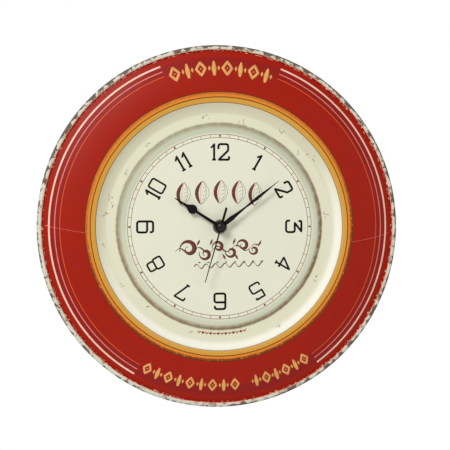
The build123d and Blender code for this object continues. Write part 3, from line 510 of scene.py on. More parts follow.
class Effects:
    """The shared effects, each a node group that is built once."""

    def __init__(self) -> None:
        """Builds every group."""
        self.place = self._place()
        self.band = self._band()
        self.specks = self._specks()
        self.cloud = self._cloud()
        self.grain = self._grain()
        self.sector = self._sector()

    @staticmethod
    @staticmethod
    def _start(
        name: str, inputs: Sequence[str], outputs: Sequence[str]
    ) -> tuple[Graph, dict, Sockets]:
        """Makes an empty group.

        Args:
            name: The group's name.
            inputs: Its number inputs; a name in capitals is a vector.
            outputs: Its number outputs; a name in capitals is a vector.

        Returns:
            The graph, the group's inputs by name, and its outputs' sockets.
        """
        tree = bpy.data.node_groups.new(name, "ShaderNodeTree")
        for names, way in ((inputs, "INPUT"), (outputs, "OUTPUT")):
            for label in names:
                kind = "NodeSocketVector" if label.isupper() else "NodeSocketFloat"
                tree.interface.new_socket(label, in_out=way, socket_type=kind)
        graph = Graph(tree)
        entry = graph.add("NodeGroupInput")
        given = {socket.name: socket for socket in entry.outputs if socket.name}
        return graph, given, graph.add("NodeGroupOutput").inputs

    def _place(self) -> bpy.types.NodeTree:
        """Gives the place on the dial: position, radius and angle, in millimetres and degrees."""
        graph, _, out = self._start("place_on_dial", [], ["POSITION", "Radius", "Angle"])
        spot = graph.add("ShaderNodeTexCoord").outputs["Object"]
        inputs = {"Vector": spot, "Location": -HAND_AXIS / MM, "Scale": (1 / MM, 1 / MM, 1 / MM)}
        centred = graph.add("ShaderNodeMapping", inputs).outputs["Vector"]
        split = graph.add("ShaderNodeSeparateXYZ", {"Vector": centred}).outputs
        across, up = split["X"], split["Z"]
        square = graph.math("ADD", graph.times(across, across), graph.times(up, up))
        turn = graph.math("DEGREES", graph.math("ARCTAN2", across, up))
        graph.put(out["POSITION"], centred)
        graph.put(out["Radius"], graph.math("SQRT", square))
        graph.put(out["Angle"], graph.math("FLOORED_MODULO", turn, FULL_TURN))
        return graph.tree

    def _band(self) -> bpy.types.NodeTree:
        """Masks the ring between two radii, with edges as ragged as old print."""
        names = ["POSITION", "Radius", "Inner", "Outer", "Soft", "Ragged", "Scale"]
        graph, given, out = self._start("worn_band", names, ["Mask"])
        value = graph.noise(given["POSITION"], given["Scale"], detail=5.0, rough=0.65)["Fac"]
        wander = graph.math("SUBTRACT", value, 0.5)
        radius = graph.math("MULTIPLY_ADD", wander, given["Ragged"], given["Radius"])
        edges = []
        for side in ("Inner", "Outer"):
            low = graph.math("SUBTRACT", given[side], given["Soft"])
            high = graph.math("ADD", given[side], given["Soft"])
            edges.append(graph.ramp(radius, low, high))
        graph.put(out["Mask"], graph.times(edges[0], graph.math("SUBTRACT", 1.0, edges[1])))
        return graph.tree

    def _specks(self) -> bpy.types.NodeTree:
        """Masks scattered specks; only a share of the cells holds one."""
        graph, given, out = self._start("specks", ["POSITION", "Scale", "Size", "Share"], ["Mask"])
        bend, smallest, core = 0.9, 0.2, 0.6
        bent = graph.noise(given["POSITION"], 0.8, detail=3.0)["Color"]
        shift = graph.add("ShaderNodeVectorMath", {0: bent, 1: (bend,) * 3}, operation="MULTIPLY")
        ends = {0: given["POSITION"], 1: shift.outputs[0]}
        moved = graph.add("ShaderNodeVectorMath", ends, operation="ADD").outputs[0]
        grid = {"Vector": moved, "Scale": given["Scale"]}
        cells = graph.add("ShaderNodeTexVoronoi", grid).outputs
        split = graph.add("ShaderNodeSeparateColor", {"Color": cells["Color"]}).outputs
        here = graph.math("LESS_THAN", split["Red"], given["Share"])
        grown = graph.math("MULTIPLY_ADD", split["Green"], 1.0 - smallest, smallest)
        size = graph.times(given["Size"], grown)
        spot = graph.ramp(cells["Distance"], graph.times(size, core), size)
        graph.put(out["Mask"], graph.times(graph.math("SUBTRACT", 1.0, spot), here))
        return graph.tree

    def _cloud(self) -> bpy.types.NodeTree:
        """Masks cloudy patches that cover a share of the surface."""
        graph, given, out = self._start("cloud", ["POSITION", "Scale", "Cover", "Soft"], ["Mask"])
        bare, slope = 0.72, -0.46
        value = graph.noise(given["POSITION"], given["Scale"], detail=6.0, rough=0.62)["Fac"]
        edge = graph.math("MULTIPLY_ADD", given["Cover"], slope, bare)
        low = graph.math("SUBTRACT", edge, given["Soft"])
        high = graph.math("ADD", edge, given["Soft"])
        graph.put(out["Mask"], graph.ramp(value, low, high))
        return graph.tree

    def _grain(self) -> bpy.types.NodeTree:
        """Gives fine surface relief: a close grain over a slow wave."""
        graph, given, out = self._start("grain", ["POSITION", "Scale", "Wave"], ["Height"])
        wave_scale = 0.035
        close = graph.noise(given["POSITION"], given["Scale"], detail=3.0, rough=0.6)["Fac"]
        slow = graph.noise(given["POSITION"], wave_scale)["Fac"]
        graph.put(out["Height"], graph.math("ADD", close, graph.times(slow, given["Wave"])))
        return graph.tree

    def _sector(self) -> bpy.types.NodeTree:
        """Masks the angles near a middle one, fading towards its half width."""
        graph, given, out = self._start("sector", ["Angle", "Middle", "Half"], ["Mask"])
        full_share = 0.55
        turn = graph.math("SUBTRACT", given["Angle"], given["Middle"])
        away = graph.math("ABSOLUTE", graph.math("WRAP", turn, HALF_TURN, -HALF_TURN))
        fade = graph.ramp(away, graph.times(given["Half"], full_share), given["Half"])
        graph.put(out["Mask"], graph.math("SUBTRACT", 1.0, fade))
        return graph.tree


EFFECTS = Effects()


class Relief(Enum):
    """How a finish's close relief runs."""

    EVEN = (1.0, 1.0, 1.0)
    BRUSHED_ACROSS = (0.04, 1.0, 1.0)
    BRUSHED_UP = (1.0, 1.0, 0.04)


@dataclass(frozen=True)
class Coating:
    """What every finish has: a name, and a material with one Principled shader."""

    name: str

    def start(self) -> tuple[Material, Graph, Node, Sockets]:
        """Starts the material.

        Returns:
            The material, its graph, its shader, and the place on the dial.
        """
        material = bpy.data.materials.new(self.name)
        material.use_nodes = True
        graph = Graph(material.node_tree)
        shader = material.node_tree.nodes["Principled BSDF"]
        return material, graph, shader, graph.group(EFFECTS.place)


@dataclass(frozen=True)
class Finish(Coating):
    """A worn, grained finish: two close colours, a little dirt, and relief."""

    colour: Colour
    second: Colour
    dirt: Colour
    roughness: float = 0.45
    rough_spread: float = 0.15
    metallic: float = 0.0
    cloud_scale: float = 0.08
    cloud_soft: float = 0.16
    dirt_scale: float = 0.35
    dirt_cover: float = 0.25
    dirt_soft: float = 0.12
    dirt_rough: float = 0.2
    speck_scale: float = 0.5
    speck_size: float = 0.18
    speck_share: float = 0.08
    grain_scale: float = 3.0
    wave: float = 1.5
    relief: Relief = Relief.EVEN
    bump: float = 0.15
    bump_depth: float = 0.05
    coat: float = 0.0
    coat_roughness: float = 0.25
    transmission: float = 0.0
    specular: float = 0.5

    def build(self) -> Material:
        """Builds the material.

        Returns:
            The material, ready for a piece.
        """
        material, graph, shader, dial = self.start()
        place = dial["POSITION"]
        stretch = {"Vector": place, "Scale": self.relief.value}
        run = graph.add("ShaderNodeMapping", stretch).outputs["Vector"]
        cloud = graph.cloud(place, self.cloud_scale, 0.5, self.cloud_soft)
        dirt = graph.cloud(place, self.dirt_scale, self.dirt_cover, self.dirt_soft)
        specks = graph.specks(place, self.speck_scale, self.speck_size, self.speck_share)
        height = graph.grain(run, self.grain_scale, self.wave)
        soiled = graph.math("MAXIMUM", dirt, specks)
        body = graph.mix(cloud, self.colour, self.second)
        graph.put(shader.inputs["Base Color"], graph.mix(soiled, body, self.dirt))
        smoothest = self.roughness - self.rough_spread
        spread = graph.math("MULTIPLY_ADD", height, self.rough_spread, smoothest)
        rough = graph.math("MULTIPLY_ADD", soiled, self.dirt_rough, spread, clamp=True)
        graph.put(shader.inputs["Roughness"], rough)
        if self.metallic > 0:
            clean = graph.math("SUBTRACT", 1.0, soiled)
            graph.put(shader.inputs["Metallic"], graph.times(clean, self.metallic))
        shader.inputs["Coat Weight"].default_value = self.coat
        shader.inputs["Coat Roughness"].default_value = self.coat_roughness
        shader.inputs["Specular IOR Level"].default_value = self.specular
        shader.inputs["Transmission Weight"].default_value = self.transmission
        graph.bump(shader, height, self.bump, self.bump_depth)
        return material


@dataclass(frozen=True)
class Ink(Coating):
    """Printed ink: nearly one colour, thinned and chipped here and there."""

    colour: Colour
    under: Colour
    thin: float = 0.22
    chip_scale: float = 0.9
    chip_soft: float = 0.06
    chip_depth: float = 0.75
    chip_rough: float = 0.15
    shade_scale: float = 0.12
    shade_soft: float = 0.2
    deeper: float = 0.82
    roughness: float = 0.45
    specular: float = 0.15
    grain_scale: float = 2.2
    wave: float = 0.5
    bump: float = 0.12
    bump_depth: float = 0.03

    def build(self) -> Material:
        """Builds the material.

        Returns:
            The material, ready for a piece.
        """
        material, graph, shader, dial = self.start()
        place = dial["POSITION"]
        chips = graph.cloud(place, self.chip_scale, self.thin, self.chip_soft)
        shade = graph.cloud(place, self.shade_scale, 0.5, self.shade_soft)
        deep = (*(channel * self.deeper for channel in self.colour[:3]), 1.0)
        body = graph.mix(shade, self.colour, deep)
        worn = graph.times(chips, self.chip_depth)
        graph.put(shader.inputs["Base Color"], graph.mix(worn, body, self.under))
        rough = graph.math("MULTIPLY_ADD", chips, self.chip_rough, self.roughness)
        graph.put(shader.inputs["Roughness"], rough)
        shader.inputs["Specular IOR Level"].default_value = self.specular
        height = graph.grain(place, self.grain_scale, self.wave)
        graph.bump(shader, height, self.bump, self.bump_depth)
        return material


@dataclass(frozen=True)
class Sleeve(Coating):
    """A battery's printed sleeve: a dark length and a gold length between bare steel ends."""

    steel: Colour = paint(200, 198, 190)
    dark: Colour = paint(34, 36, 42)
    gold: Colour = paint(186, 128, 58)
    scuff: Colour = paint(120, 112, 100)
    ends: Point = (-23.2, 24.4)
    change: float = 7.5
    stripe: float = 1.6
    edge_soft: float = 0.05
    scuffs: tuple[float, float, float] = (0.5, 0.12, 0.1)
    grain_scale: float = 3.0
    wave: float = 0.8
    rough_spread: float = 0.12
    roughness: float = 0.2
    metallic: float = 0.6
    bump: float = 0.1
    bump_depth: float = 0.03

    def build(self) -> Material:
        """Builds the material.

        Returns:
            The material of the battery.
        """
        material, graph, shader, dial = self.start()
        place = dial["POSITION"]
        along = graph.add("ShaderNodeSeparateXYZ", {"Vector": place}).outputs["X"]
        colour: Socket | Colour = self.steel
        for edge, past in (
            (self.ends[0], self.dark),
            (self.change - self.stripe, self.steel),
            (self.change, self.gold),
            (self.ends[1], self.steel),
        ):
            mask = graph.ramp(along, edge - self.edge_soft, edge + self.edge_soft)
            colour = graph.mix(mask, colour, past)
        worn = graph.cloud(place, *self.scuffs)
        graph.put(shader.inputs["Base Color"], graph.mix(worn, colour, self.scuff))
        grain = graph.grain(place, self.grain_scale, self.wave)
        rough = graph.math("MULTIPLY_ADD", grain, self.rough_spread, self.roughness)
        graph.put(shader.inputs["Roughness"], rough)
        shader.inputs["Metallic"].default_value = self.metallic
        graph.bump(shader, grain, self.bump, self.bump_depth)
        return material


@dataclass(frozen=True)
class Zone:
    """One ring of the face, from an inner to an outer radius in millimetres."""

    inner: float
    outer: float
    soft: float = 0.15
    ragged: float = 0.3
    scale: float = 0.25


@dataclass(frozen=True)
class Layer:
    """One colour of the face: its print, a painted shade or a painted highlight, and where and how
    strongly it shows.

    It shows in its zone, or within a radius; only in its clouds (scale, cover, softness) or specks
    (scale, size, share), and only about an angle (middle, half width), if it has them.  Beside
    the angle, the base share of it stays.
    """

    tint: Colour
    zone: Zone | None = None
    strength: float = 1.0
    within: float = 0.0
    clouds: tuple[float, float, float] | None = None
    specks: tuple[float, float, float] | None = None
    angle: Point | None = None
    base: float = 0.0
    worn: bool = False


CREAM = paint(225, 226, 207)
RUST = paint(138, 98, 66)
RED = paint(158, 24, 3)
DIAL_EDGE = 129.0
BORDER = Zone(141.5, 182.6, soft=0.5, ragged=0.2)
ENAMEL = Zone(185.7, 260.0, soft=0.25, ragged=1.3, scale=0.3)


@dataclass(frozen=True)
class TinPaint(Coating):
    """The face's print, with painted shade and highlights: cream dial, step, gold rings, red border
    and chipped bead.
    """

    second: Colour = paint(222, 224, 206)
    second_clouds: tuple[float, float, float] = (0.03, 0.5, 0.2)
    layers: tuple[Layer, ...] = (
        # Painted shade down the step towards its crease, partly printed vignette and patina, then
        # the rings from the dial outwards.
        Layer(paint(202, 207, 184), Zone(97.6, 109.0, 2.2, 2.0, 0.05), 0.9),
        Layer(paint(170, 165, 141), Zone(103.4, 109.0, 1.5, 2.0, 0.06), 0.85),
        Layer(paint(146, 132, 104), Zone(105.3, 107.6, 0.7, 2.0, 0.09), 0.5),
        Layer(paint(112, 92, 66), Zone(106.3, 107.8, 0.45, 1.4, 0.2), 0.5),
        Layer(paint(220, 219, 196), Zone(108.8, 129.4, 0.6, 0.8, 0.1)),
        Layer(paint(208, 154, 62), Zone(129.2, 135.4, ragged=0.35)),
        Layer(paint(112, 84, 42), Zone(129.2, 130.0, soft=0.2)),
        Layer(paint(217, 129, 44), Zone(135.2, 141.0, ragged=0.2)),
        Layer(paint(96, 50, 10), Zone(134.7, 135.6)),
        Layer(RED, Zone(140.4, 188.0, 0.18, 0.5, 0.35)),
        Layer(paint(136, 24, 24), Zone(166.6, 177.4, 0.3, 0.2), 0.8),
        # Rust and grime gather along the step below the dial, more on the right.
        Layer(
            RUST, Zone(104.6, 108.7, 0.9, 1.8, 0.14), 0.8,
            clouds=(0.16, 0.5, 0.08), angle=(60.0, 85.0), base=0.625, worn=True,
        ),
        # Painted shade at the upper left of the step and the bevel, where light from the upper left
        # misses them, and a painted highlight at the lower right of the bevel.
        Layer(paint(172, 177, 154), Zone(98.6, 108.6, 2.0, 1.0), 0.5, angle=(345.0, 105.0)),
        Layer(paint(196, 190, 164), Zone(118.4, 129.2, 1.6, 1.0), 0.5, angle=(345.0, 105.0)),
        Layer(paint(248, 248, 238), Zone(121.5, 129.0, 2.6, 0.8), 0.62, angle=(158.0, 112.0)),
        # The orange ring has lost its outer edge, most of all at the bottom.
        Layer(
            paint(128, 58, 20), Zone(138.2, 141.6, 0.4, 2.6, 0.4), 0.97,
            clouds=(0.45, 0.72, 0.06), angle=(165.0, 120.0), base=0.42 / 0.97,
        ),
        Layer(paint(92, 34, 14), Zone(140.2, 141.3, 0.2, 0.9, 0.5), 0.7),
        # Fine specks on the cream, fewer scuffs on the red.
        Layer(paint(140, 120, 92), None, 0.5, within=DIAL_EDGE, specks=(0.22, 0.11, 0.22)),
        Layer(paint(120, 104, 84), None, 0.55, within=DIAL_EDGE, specks=(0.09, 0.075, 0.16)),
        Layer(paint(150, 26, 14), BORDER, 0.5, clouds=(0.05, 0.45, 0.16)),
        Layer(paint(196, 92, 64), BORDER, 0.5, specks=(0.35, 0.1, 0.08)),
        # The groove before the bead is dark, then the enamel begins with a pale line of worn paint
        # and painted highlight, where the bead's inner side catches the light.
        Layer(
            paint(228, 190, 166), Zone(183.6, 185.8, 0.3, 1.6, 0.35),
            clouds=(0.3, 0.3, 0.06), worn=True,
        ),
        Layer(paint(206, 210, 196), ENAMEL),
        # A painted highlight along the bead's inner side.
        Layer(paint(218, 200, 178), Zone(185.3, 186.6, 0.35, 1.3, 0.3), 0.8),
    )
    bare: Colour = paint(104, 92, 82)
    bare_scale: float = 0.13
    bare_soft: float = 0.04
    bare_cover: float = 0.2
    bare_angle: Point = (50.0, 160.0)
    bare_angle_cover: float = 0.2
    bare_rim: Point = (187.2, 189.6)
    bare_rim_cover: float = 0.24
    bloom: Layer = Layer(paint(142, 84, 58), ENAMEL, 0.8, clouds=(0.2, 0.26, 0.06))
    grain_scale: float = 1.1
    wave: float = 3.0
    rough_spread: float = 0.06
    roughness: float = 0.36
    worn_rough: float = 0.3
    worn_depth: float = 2.5
    bump: float = 0.35
    bump_depth: float = 0.06
    specular: float = 0.15

    def build(self) -> Material:
        """Builds the material.

        Returns:
            The material of the face's front.
        """
        material, graph, shader, dial = self.start()
        place, radius, angle = dial["POSITION"], dial["Radius"], dial["Angle"]

        def band(zone: Zone) -> Socket:
            """The ring of a zone."""
            sizes = {"Inner": zone.inner, "Outer": zone.outer, "Soft": zone.soft}
            sizes |= {"Ragged": zone.ragged, "Scale": zone.scale}
            return graph.group(EFFECTS.band, POSITION=place, Radius=radius, **sizes)["Mask"]

        def sector(middle: float, half: float) -> Socket:
            """The angles about a middle one."""
            return graph.group(EFFECTS.sector, Angle=angle, Middle=middle, Half=half)["Mask"]

        def shown(layer: Layer) -> Socket:
            """Where a layer shows, at its strength."""
            parts: list[object] = []
            if layer.zone:
                parts.append(band(layer.zone))
            if layer.within:
                parts.append(graph.math("LESS_THAN", radius, layer.within))
            if layer.clouds:
                parts.append(graph.cloud(place, *layer.clouds))
            if layer.specks:
                parts.append(graph.specks(place, *layer.specks))
            if layer.angle:
                about = sector(*layer.angle)
                parts.append(graph.math("MULTIPLY_ADD", about, 1.0 - layer.base, layer.base))
            return graph.times(*parts, layer.strength)

        colour: Socket = graph.mix(graph.cloud(place, *self.second_clouds), CREAM, self.second)
        worn: object = 0.0
        for layer in self.layers:
            mask = shown(layer)
            colour = graph.mix(mask, colour, layer.tint)
            if layer.worn:
                worn = graph.math("MAXIMUM", worn, mask)
        # Bare steel shows through the enamel, more on the right and towards the rim.
        about = sector(*self.bare_angle)
        side = graph.math("MULTIPLY_ADD", about, self.bare_angle_cover, self.bare_cover)
        rim = graph.ramp(radius, *self.bare_rim)
        cover = graph.math("MULTIPLY_ADD", rim, self.bare_rim_cover, side)
        chips = graph.cloud(place, self.bare_scale, cover, self.bare_soft)
        chipped = graph.times(chips, band(ENAMEL))
        colour = graph.mix(chipped, colour, self.bare)
        colour = graph.mix(shown(self.bloom), colour, self.bloom.tint)
        graph.put(shader.inputs["Base Color"], colour)

        worn = graph.math("MAXIMUM", worn, chipped)
        grain = graph.grain(place, self.grain_scale, self.wave)
        rough = graph.math("MULTIPLY_ADD", grain, self.rough_spread, self.roughness)
        worn_rough = graph.math("MULTIPLY_ADD", worn, self.worn_rough, rough, clamp=True)
        graph.put(shader.inputs["Roughness"], worn_rough)
        sunk = graph.math("MULTIPLY_ADD", worn, -self.worn_depth, grain)
        graph.bump(shader, sunk, self.bump, self.bump_depth)
        shader.inputs["Specular IOR Level"].default_value = self.specular
        return material


class Palette:
    """Every finish of the clock, each built the first time that it is used."""

    COATINGS: tuple[Coating, ...] = (
        # The face's print, with its painted shade and painted highlights.
        TinPaint("printed_tin_and_painted_light"),
        Sleeve("battery_sleeve"),
        Finish(
            "bare_tin", paint(176, 178, 172), paint(158, 160, 152), paint(112, 88, 66),
            roughness=0.5, metallic=0.75, dirt_cover=0.14, dirt_scale=0.05, grain_scale=2.4,
            relief=Relief.BRUSHED_ACROSS, bump=0.3,
        ),
        Finish(
            "band_enamel", paint(196, 201, 188), paint(180, 186, 174), paint(98, 74, 58),
            roughness=0.5, dirt_cover=0.16, dirt_scale=0.1, dirt_soft=0.05, speck_scale=0.35,
            speck_size=0.2, speck_share=0.12, grain_scale=1.2, bump=0.4,
        ),
        Finish(
            "zinc", paint(196, 198, 196), paint(168, 172, 172), paint(126, 120, 108),
            roughness=0.42, metallic=1.0, cloud_scale=0.16, dirt_cover=0.16,
            grain_scale=1.6, bump=0.3,
        ),
        Finish(
            "washer_grey", paint(150, 142, 128), paint(122, 112, 98), paint(84, 68, 50),
            roughness=0.42, metallic=0.85, cloud_scale=0.3, dirt_cover=0.3,
            grain_scale=2.0, bump=0.3,
        ),
        Finish(
            "brass", paint(214, 176, 96), paint(190, 150, 78), paint(112, 84, 44),
            roughness=0.32, metallic=1.0, cloud_scale=0.3, dirt_cover=0.2, dirt_scale=0.8,
            grain_scale=4.0,
        ),
        Finish(
            "nut_lacquer", paint(38, 36, 34), paint(52, 49, 46), paint(120, 112, 100),
            roughness=0.34, metallic=0.3, dirt_cover=0.05, speck_share=0.05, grain_scale=3.0,
        ),
        Finish(
            "hand_lacquer", paint(12, 11, 9), paint(19, 17, 14), paint(70, 63, 50),
            roughness=0.6, rough_spread=0.12, dirt_cover=0.02, speck_scale=0.7, speck_size=0.14,
            speck_share=0.1, grain_scale=2.4, bump=0.2, specular=0.12,
        ),
        Finish(
            "cap_lacquer", paint(16, 15, 15), paint(24, 22, 22), paint(70, 64, 58),
            roughness=0.34, rough_spread=0.06, dirt_cover=0.02, speck_scale=1.2, speck_size=0.12,
            speck_share=0.1, grain_scale=3.0, bump=0.08, coat=0.12, specular=0.25,
        ),
        Finish(
            "moulded_black", paint(34, 35, 37), paint(42, 43, 45), paint(98, 94, 88),
            roughness=0.55, dirt_cover=0.08, dirt_scale=0.12, speck_scale=0.8, speck_size=0.12,
            speck_share=0.1, grain_scale=4.5, bump=0.45,
        ),
        Finish(
            "knob_black", paint(28, 28, 29), paint(36, 36, 38), paint(92, 88, 82),
            roughness=0.4, dirt_cover=0.06, speck_share=0.1, grain_scale=5.0, bump=0.25,
        ),
        Finish(
            "gasket_rubber", paint(36, 35, 34), paint(46, 44, 42), paint(90, 84, 76),
            roughness=0.8, dirt_cover=0.2, grain_scale=3.5, bump=0.5,
        ),
        Finish(
            "wheel_white", paint(228, 228, 220), paint(218, 216, 204), paint(188, 180, 160),
            roughness=0.38, dirt_cover=0.12, dirt_scale=0.6, speck_share=0.03,
            grain_scale=5.0, bump=0.1,
        ),
        Finish(
            "frame_clear", paint(214, 222, 224), paint(200, 210, 212), paint(170, 168, 156),
            roughness=0.25, rough_spread=0.08, dirt_cover=0.1, grain_scale=4.0, bump=0.1,
            transmission=0.6,
        ),
        Finish(
            "coil_copper", paint(196, 112, 62), paint(168, 88, 46), paint(96, 46, 26),
            roughness=0.34, metallic=0.9, dirt_cover=0.15, dirt_scale=0.9, grain_scale=7.0,
            relief=Relief.BRUSHED_UP, bump=0.8, coat=0.4,
        ),
        Finish(
            "core_steel", paint(150, 152, 154), paint(132, 134, 136), paint(96, 78, 60),
            roughness=0.4, metallic=1.0, dirt_cover=0.16, grain_scale=3.0,
            relief=Relief.BRUSHED_ACROSS, bump=0.35,
        ),
        Finish(
            "board_green", paint(34, 92, 58), paint(28, 78, 50), paint(120, 112, 60),
            roughness=0.35, dirt_cover=0.06, speck_scale=0.9, speck_size=0.2, speck_share=0.16,
            grain_scale=6.0, bump=0.25, coat=0.4,
        ),
        Finish(
            "chip_black", paint(24, 24, 26), paint(32, 32, 34), paint(80, 78, 76),
            roughness=0.5, dirt_cover=0.08, grain_scale=8.0, bump=0.4,
        ),
        Finish(
            "nickel", paint(206, 202, 190), paint(186, 182, 170), paint(134, 122, 98),
            roughness=0.28, metallic=1.0, dirt_cover=0.14, dirt_scale=0.8,
            grain_scale=3.5, bump=0.15,
        ),
        Finish(
            "magnet_grey", paint(92, 90, 92), paint(78, 76, 78), paint(50, 46, 44),
            roughness=0.45, metallic=0.6, dirt_cover=0.12, grain_scale=6.0, bump=0.25,
        ),
        Ink("ink_black", paint(12, 11, 8), paint(70, 66, 56), thin=0.06, chip_scale=1.4),
        Ink("ink_track", paint(146, 104, 66), CREAM, thin=0.14, chip_scale=0.5),
        Ink("ink_diamond", paint(112, 62, 38), CREAM, thin=0.06),
        Ink("ink_maroon", paint(108, 58, 48), paint(196, 168, 148), thin=0.14, chip_scale=1.1),
        Ink("ink_pink", paint(238, 198, 184), CREAM, thin=0.3),
        Ink("ink_hair", paint(104, 80, 62), CREAM, thin=0.1, chip_scale=0.8),
        Ink("ink_red", paint(140, 32, 22), CREAM, thin=0.05, chip_scale=1.6),
        Ink("ink_tan", paint(232, 168, 100), RED, thin=0.08, chip_scale=0.8),
        Ink("ink_rose", paint(250, 205, 184), RED, thin=0.02, chip_scale=0.35),
        Ink("ink_rose_fine", paint(226, 132, 118), RED, thin=0.08, chip_scale=0.35),
        Ink("ink_orange", paint(222, 88, 38), RED, thin=0.08, chip_scale=0.35),
        Ink("scratch_brown", paint(122, 104, 82), CREAM, thin=0.3, chip_scale=1.0),
        Ink("scratch_white", paint(250, 226, 214), RED, thin=0.1),
    )

    def __init__(self) -> None:
        """Starts with nothing mixed."""
        self._known = {coating.name: coating for coating in self.COATINGS}
        self._mixed: dict[str, Material] = {}

    def get(self, name: str) -> Material:
        """Gives a finish's material, mixed once."""
        if name not in self._mixed:
            self._mixed[name] = self._known[name].build()
        return self._mixed[name]

    def dress(self, piece: Piece, *names: str) -> None:
        """Gives a piece its finishes in order of its slots."""
        piece.data.materials.clear()
        for name in names:
            piece.data.materials.append(self.get(name))

    def dress_node(self, node: str, name: str) -> None:
        """Puts a finish in a CAD node's material slots."""
        piece = frame["nodes"][node]
        if not piece.material_slots:
            piece.data.materials.append(self.get(name))
        for slot in piece.material_slots:
            slot.material = self.get(name)


def seat(piece: Piece, body: str) -> Piece:
    """Rides a new piece on its body and reports it.

    Args:
        piece: The finished piece.
        body: The CAD body it moves with.

    Returns:
        The same piece.
    """
    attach(piece, body)
    log.info("%s: %d faces, on %s", piece.name, len(piece.data.polygons), body)
    return piece


@dataclass
class Face:
    """The pressed-tin face with its rolled bead: (radius, depth) places, headings and spans."""

    palette: Palette
    sheet: float = 0.6
    hole_radius: float = 4.3
    plateau: Point = (98.5, 26.0)
    plateau_rings: tuple[float, ...] = (20.0, 45.0, 70.0, 90.0)
    plateau_heading: Point = (1.0, 0.0)
    shoulder: Point = (104.0, 25.0)
    shoulder_heading: Point = (0.956, -0.293)
    foot: Point = (108.3, 23.0)
    foot_heading: Point = (0.8, -0.6)
    flat_rings: tuple[float, ...] = (110.0, 114.0)
    bevel_foot: Point = (118.0, 23.0)
    bevel_middle: Point = (124.25, 24.4)
    bevel_top: Point = (129.5, 27.2)
    crest: Point = (135.5, 28.2)
    dome_start: Point = (140.5, 27.85)
    dome_rise: float = 2.2
    bead_centre: Point = (186.9, 14.6)
    bead_radius: float = 3.1
    entry_angle: float = 160.0
    tail_angle: float = -148.0
    step_spans: int = 6
    bevel_spans: int = 8
    dome_spans: int = 26
    bead_spans: int = 22
    round_spans: int = 300
    smooth_angle: float = 35.0
    line: list[Point] = field(init=False)

    def __post_init__(self) -> None:
        """Works out the front line once."""
        self.line = self.front_line()

    @staticmethod
    def bend(first: Point, heading: Point, last: Point, arrival: Point, count: int) -> list[Point]:
        """Gives points on a smooth curve between two points with set headings.

        Args:
            first: Where it starts.
            heading: The unit direction it starts in.
            last: Where it ends.
            arrival: The unit direction it ends in.
            count: How many spans it has.

        Returns:
            The points, without the first.
        """
        reach = math.dist(first, last)
        points = []
        for step in range(1, count + 1):
            t = step / count
            start, end = 2 * t**3 - 3 * t**2 + 1, 3 * t**2 - 2 * t**3
            leave, arrive = reach * (t**3 - 2 * t**2 + t), reach * (t**3 - t**2)
            x, y = (
                start * first[i] + leave * heading[i] + end * last[i] + arrive * arrival[i]
                for i in (0, 1)
            )
            points.append((x, y))
        return points

    def front_line(self) -> list[Point]:
        """Gives the face's front surface, from hole to bead tail.

        Returns:
            The (radius, depth) points.
        """
        line = [(radius, self.plateau[1]) for radius in (self.hole_radius, *self.plateau_rings)]
        line.append(self.plateau)
        shoulder = (self.shoulder, self.shoulder_heading)
        line += self.bend(self.plateau, self.plateau_heading, *shoulder, self.step_spans)
        line += self.bend(*shoulder, self.foot, self.foot_heading, self.step_spans)
        line += [(radius, self.foot[1]) for radius in self.flat_rings]
        line.append(self.bevel_foot)
        for arc in (
            (self.bevel_foot, self.bevel_middle, self.bevel_top),
            (self.bevel_top, self.crest, self.dome_start),
        ):
            line += three_point_arc(*arc, self.bevel_spans)[1:]
        bead = (self.bead_centre, self.bead_radius, self.entry_angle)
        entry = arc_points(*bead, self.entry_angle, 1)[0]
        middle_radius = (self.dome_start[0] + entry[0]) / 2
        middle_depth = (self.dome_start[1] + entry[1]) / 2 + self.dome_rise
        dome = (self.dome_start, (middle_radius, middle_depth), entry)
        line += three_point_arc(*dome, self.dome_spans)[1:]
        line += arc_points(*bead, self.tail_angle, self.bead_spans)[1:]
        return line

    def back_line(self) -> list[Point]:
        """Gives the back surface, the front one set back by the sheet along its normal.

        Returns:
            The (radius, depth) points.
        """
        points = []
        for place, (radius, depth) in enumerate(self.line):
            before, after = self.line[max(0, place - 1)], self.line[place + 1 : place + 2]
            ahead = after[0] if after else (radius, depth)
            along = Vector((ahead[0] - before[0], ahead[1] - before[1])).normalized()
            points.append((radius + along.y * self.sheet, depth - along.x * self.sheet))
        return points

    def depth_at(self, radius: float) -> float:
        """Gives the front surface's depth at a radius.

        Args:
            radius: Distance from the hand axis, in millimetres.

        Returns:
            The depth in millimetres.
        """
        for (low, start), (high, end) in zip(self.line, self.line[1:]):
            if low <= radius <= high:
                return start + (end - start) * (radius - low) / max(1e-9, high - low)
        return self.line[0][1]

    def build(self) -> None:
        """Spins the pressing and paints its two sides."""
        outline = self.line + self.back_line()[::-1]
        piece = Bench.lathe("face_pressing", outline, steps=self.round_spans)
        self.palette.dress(piece, "printed_tin_and_painted_light", "bare_tin")
        bead_inner = self.bead_centre[0] - self.bead_radius
        for face in piece.data.polygons:
            across, up = face.center.x - HAND_AXIS.x, face.center.z - HAND_AXIS.z
            radius = math.hypot(across, up) / MM
            middle = self.depth_at(radius) - self.sheet / 2
            behind = radius < bead_inner and -face.center.y / MM < middle
            face.material_index = 1 if behind else 0
        Bench.smooth(piece, self.smooth_angle)
        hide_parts("face_stamping")
        seat(piece, "case")


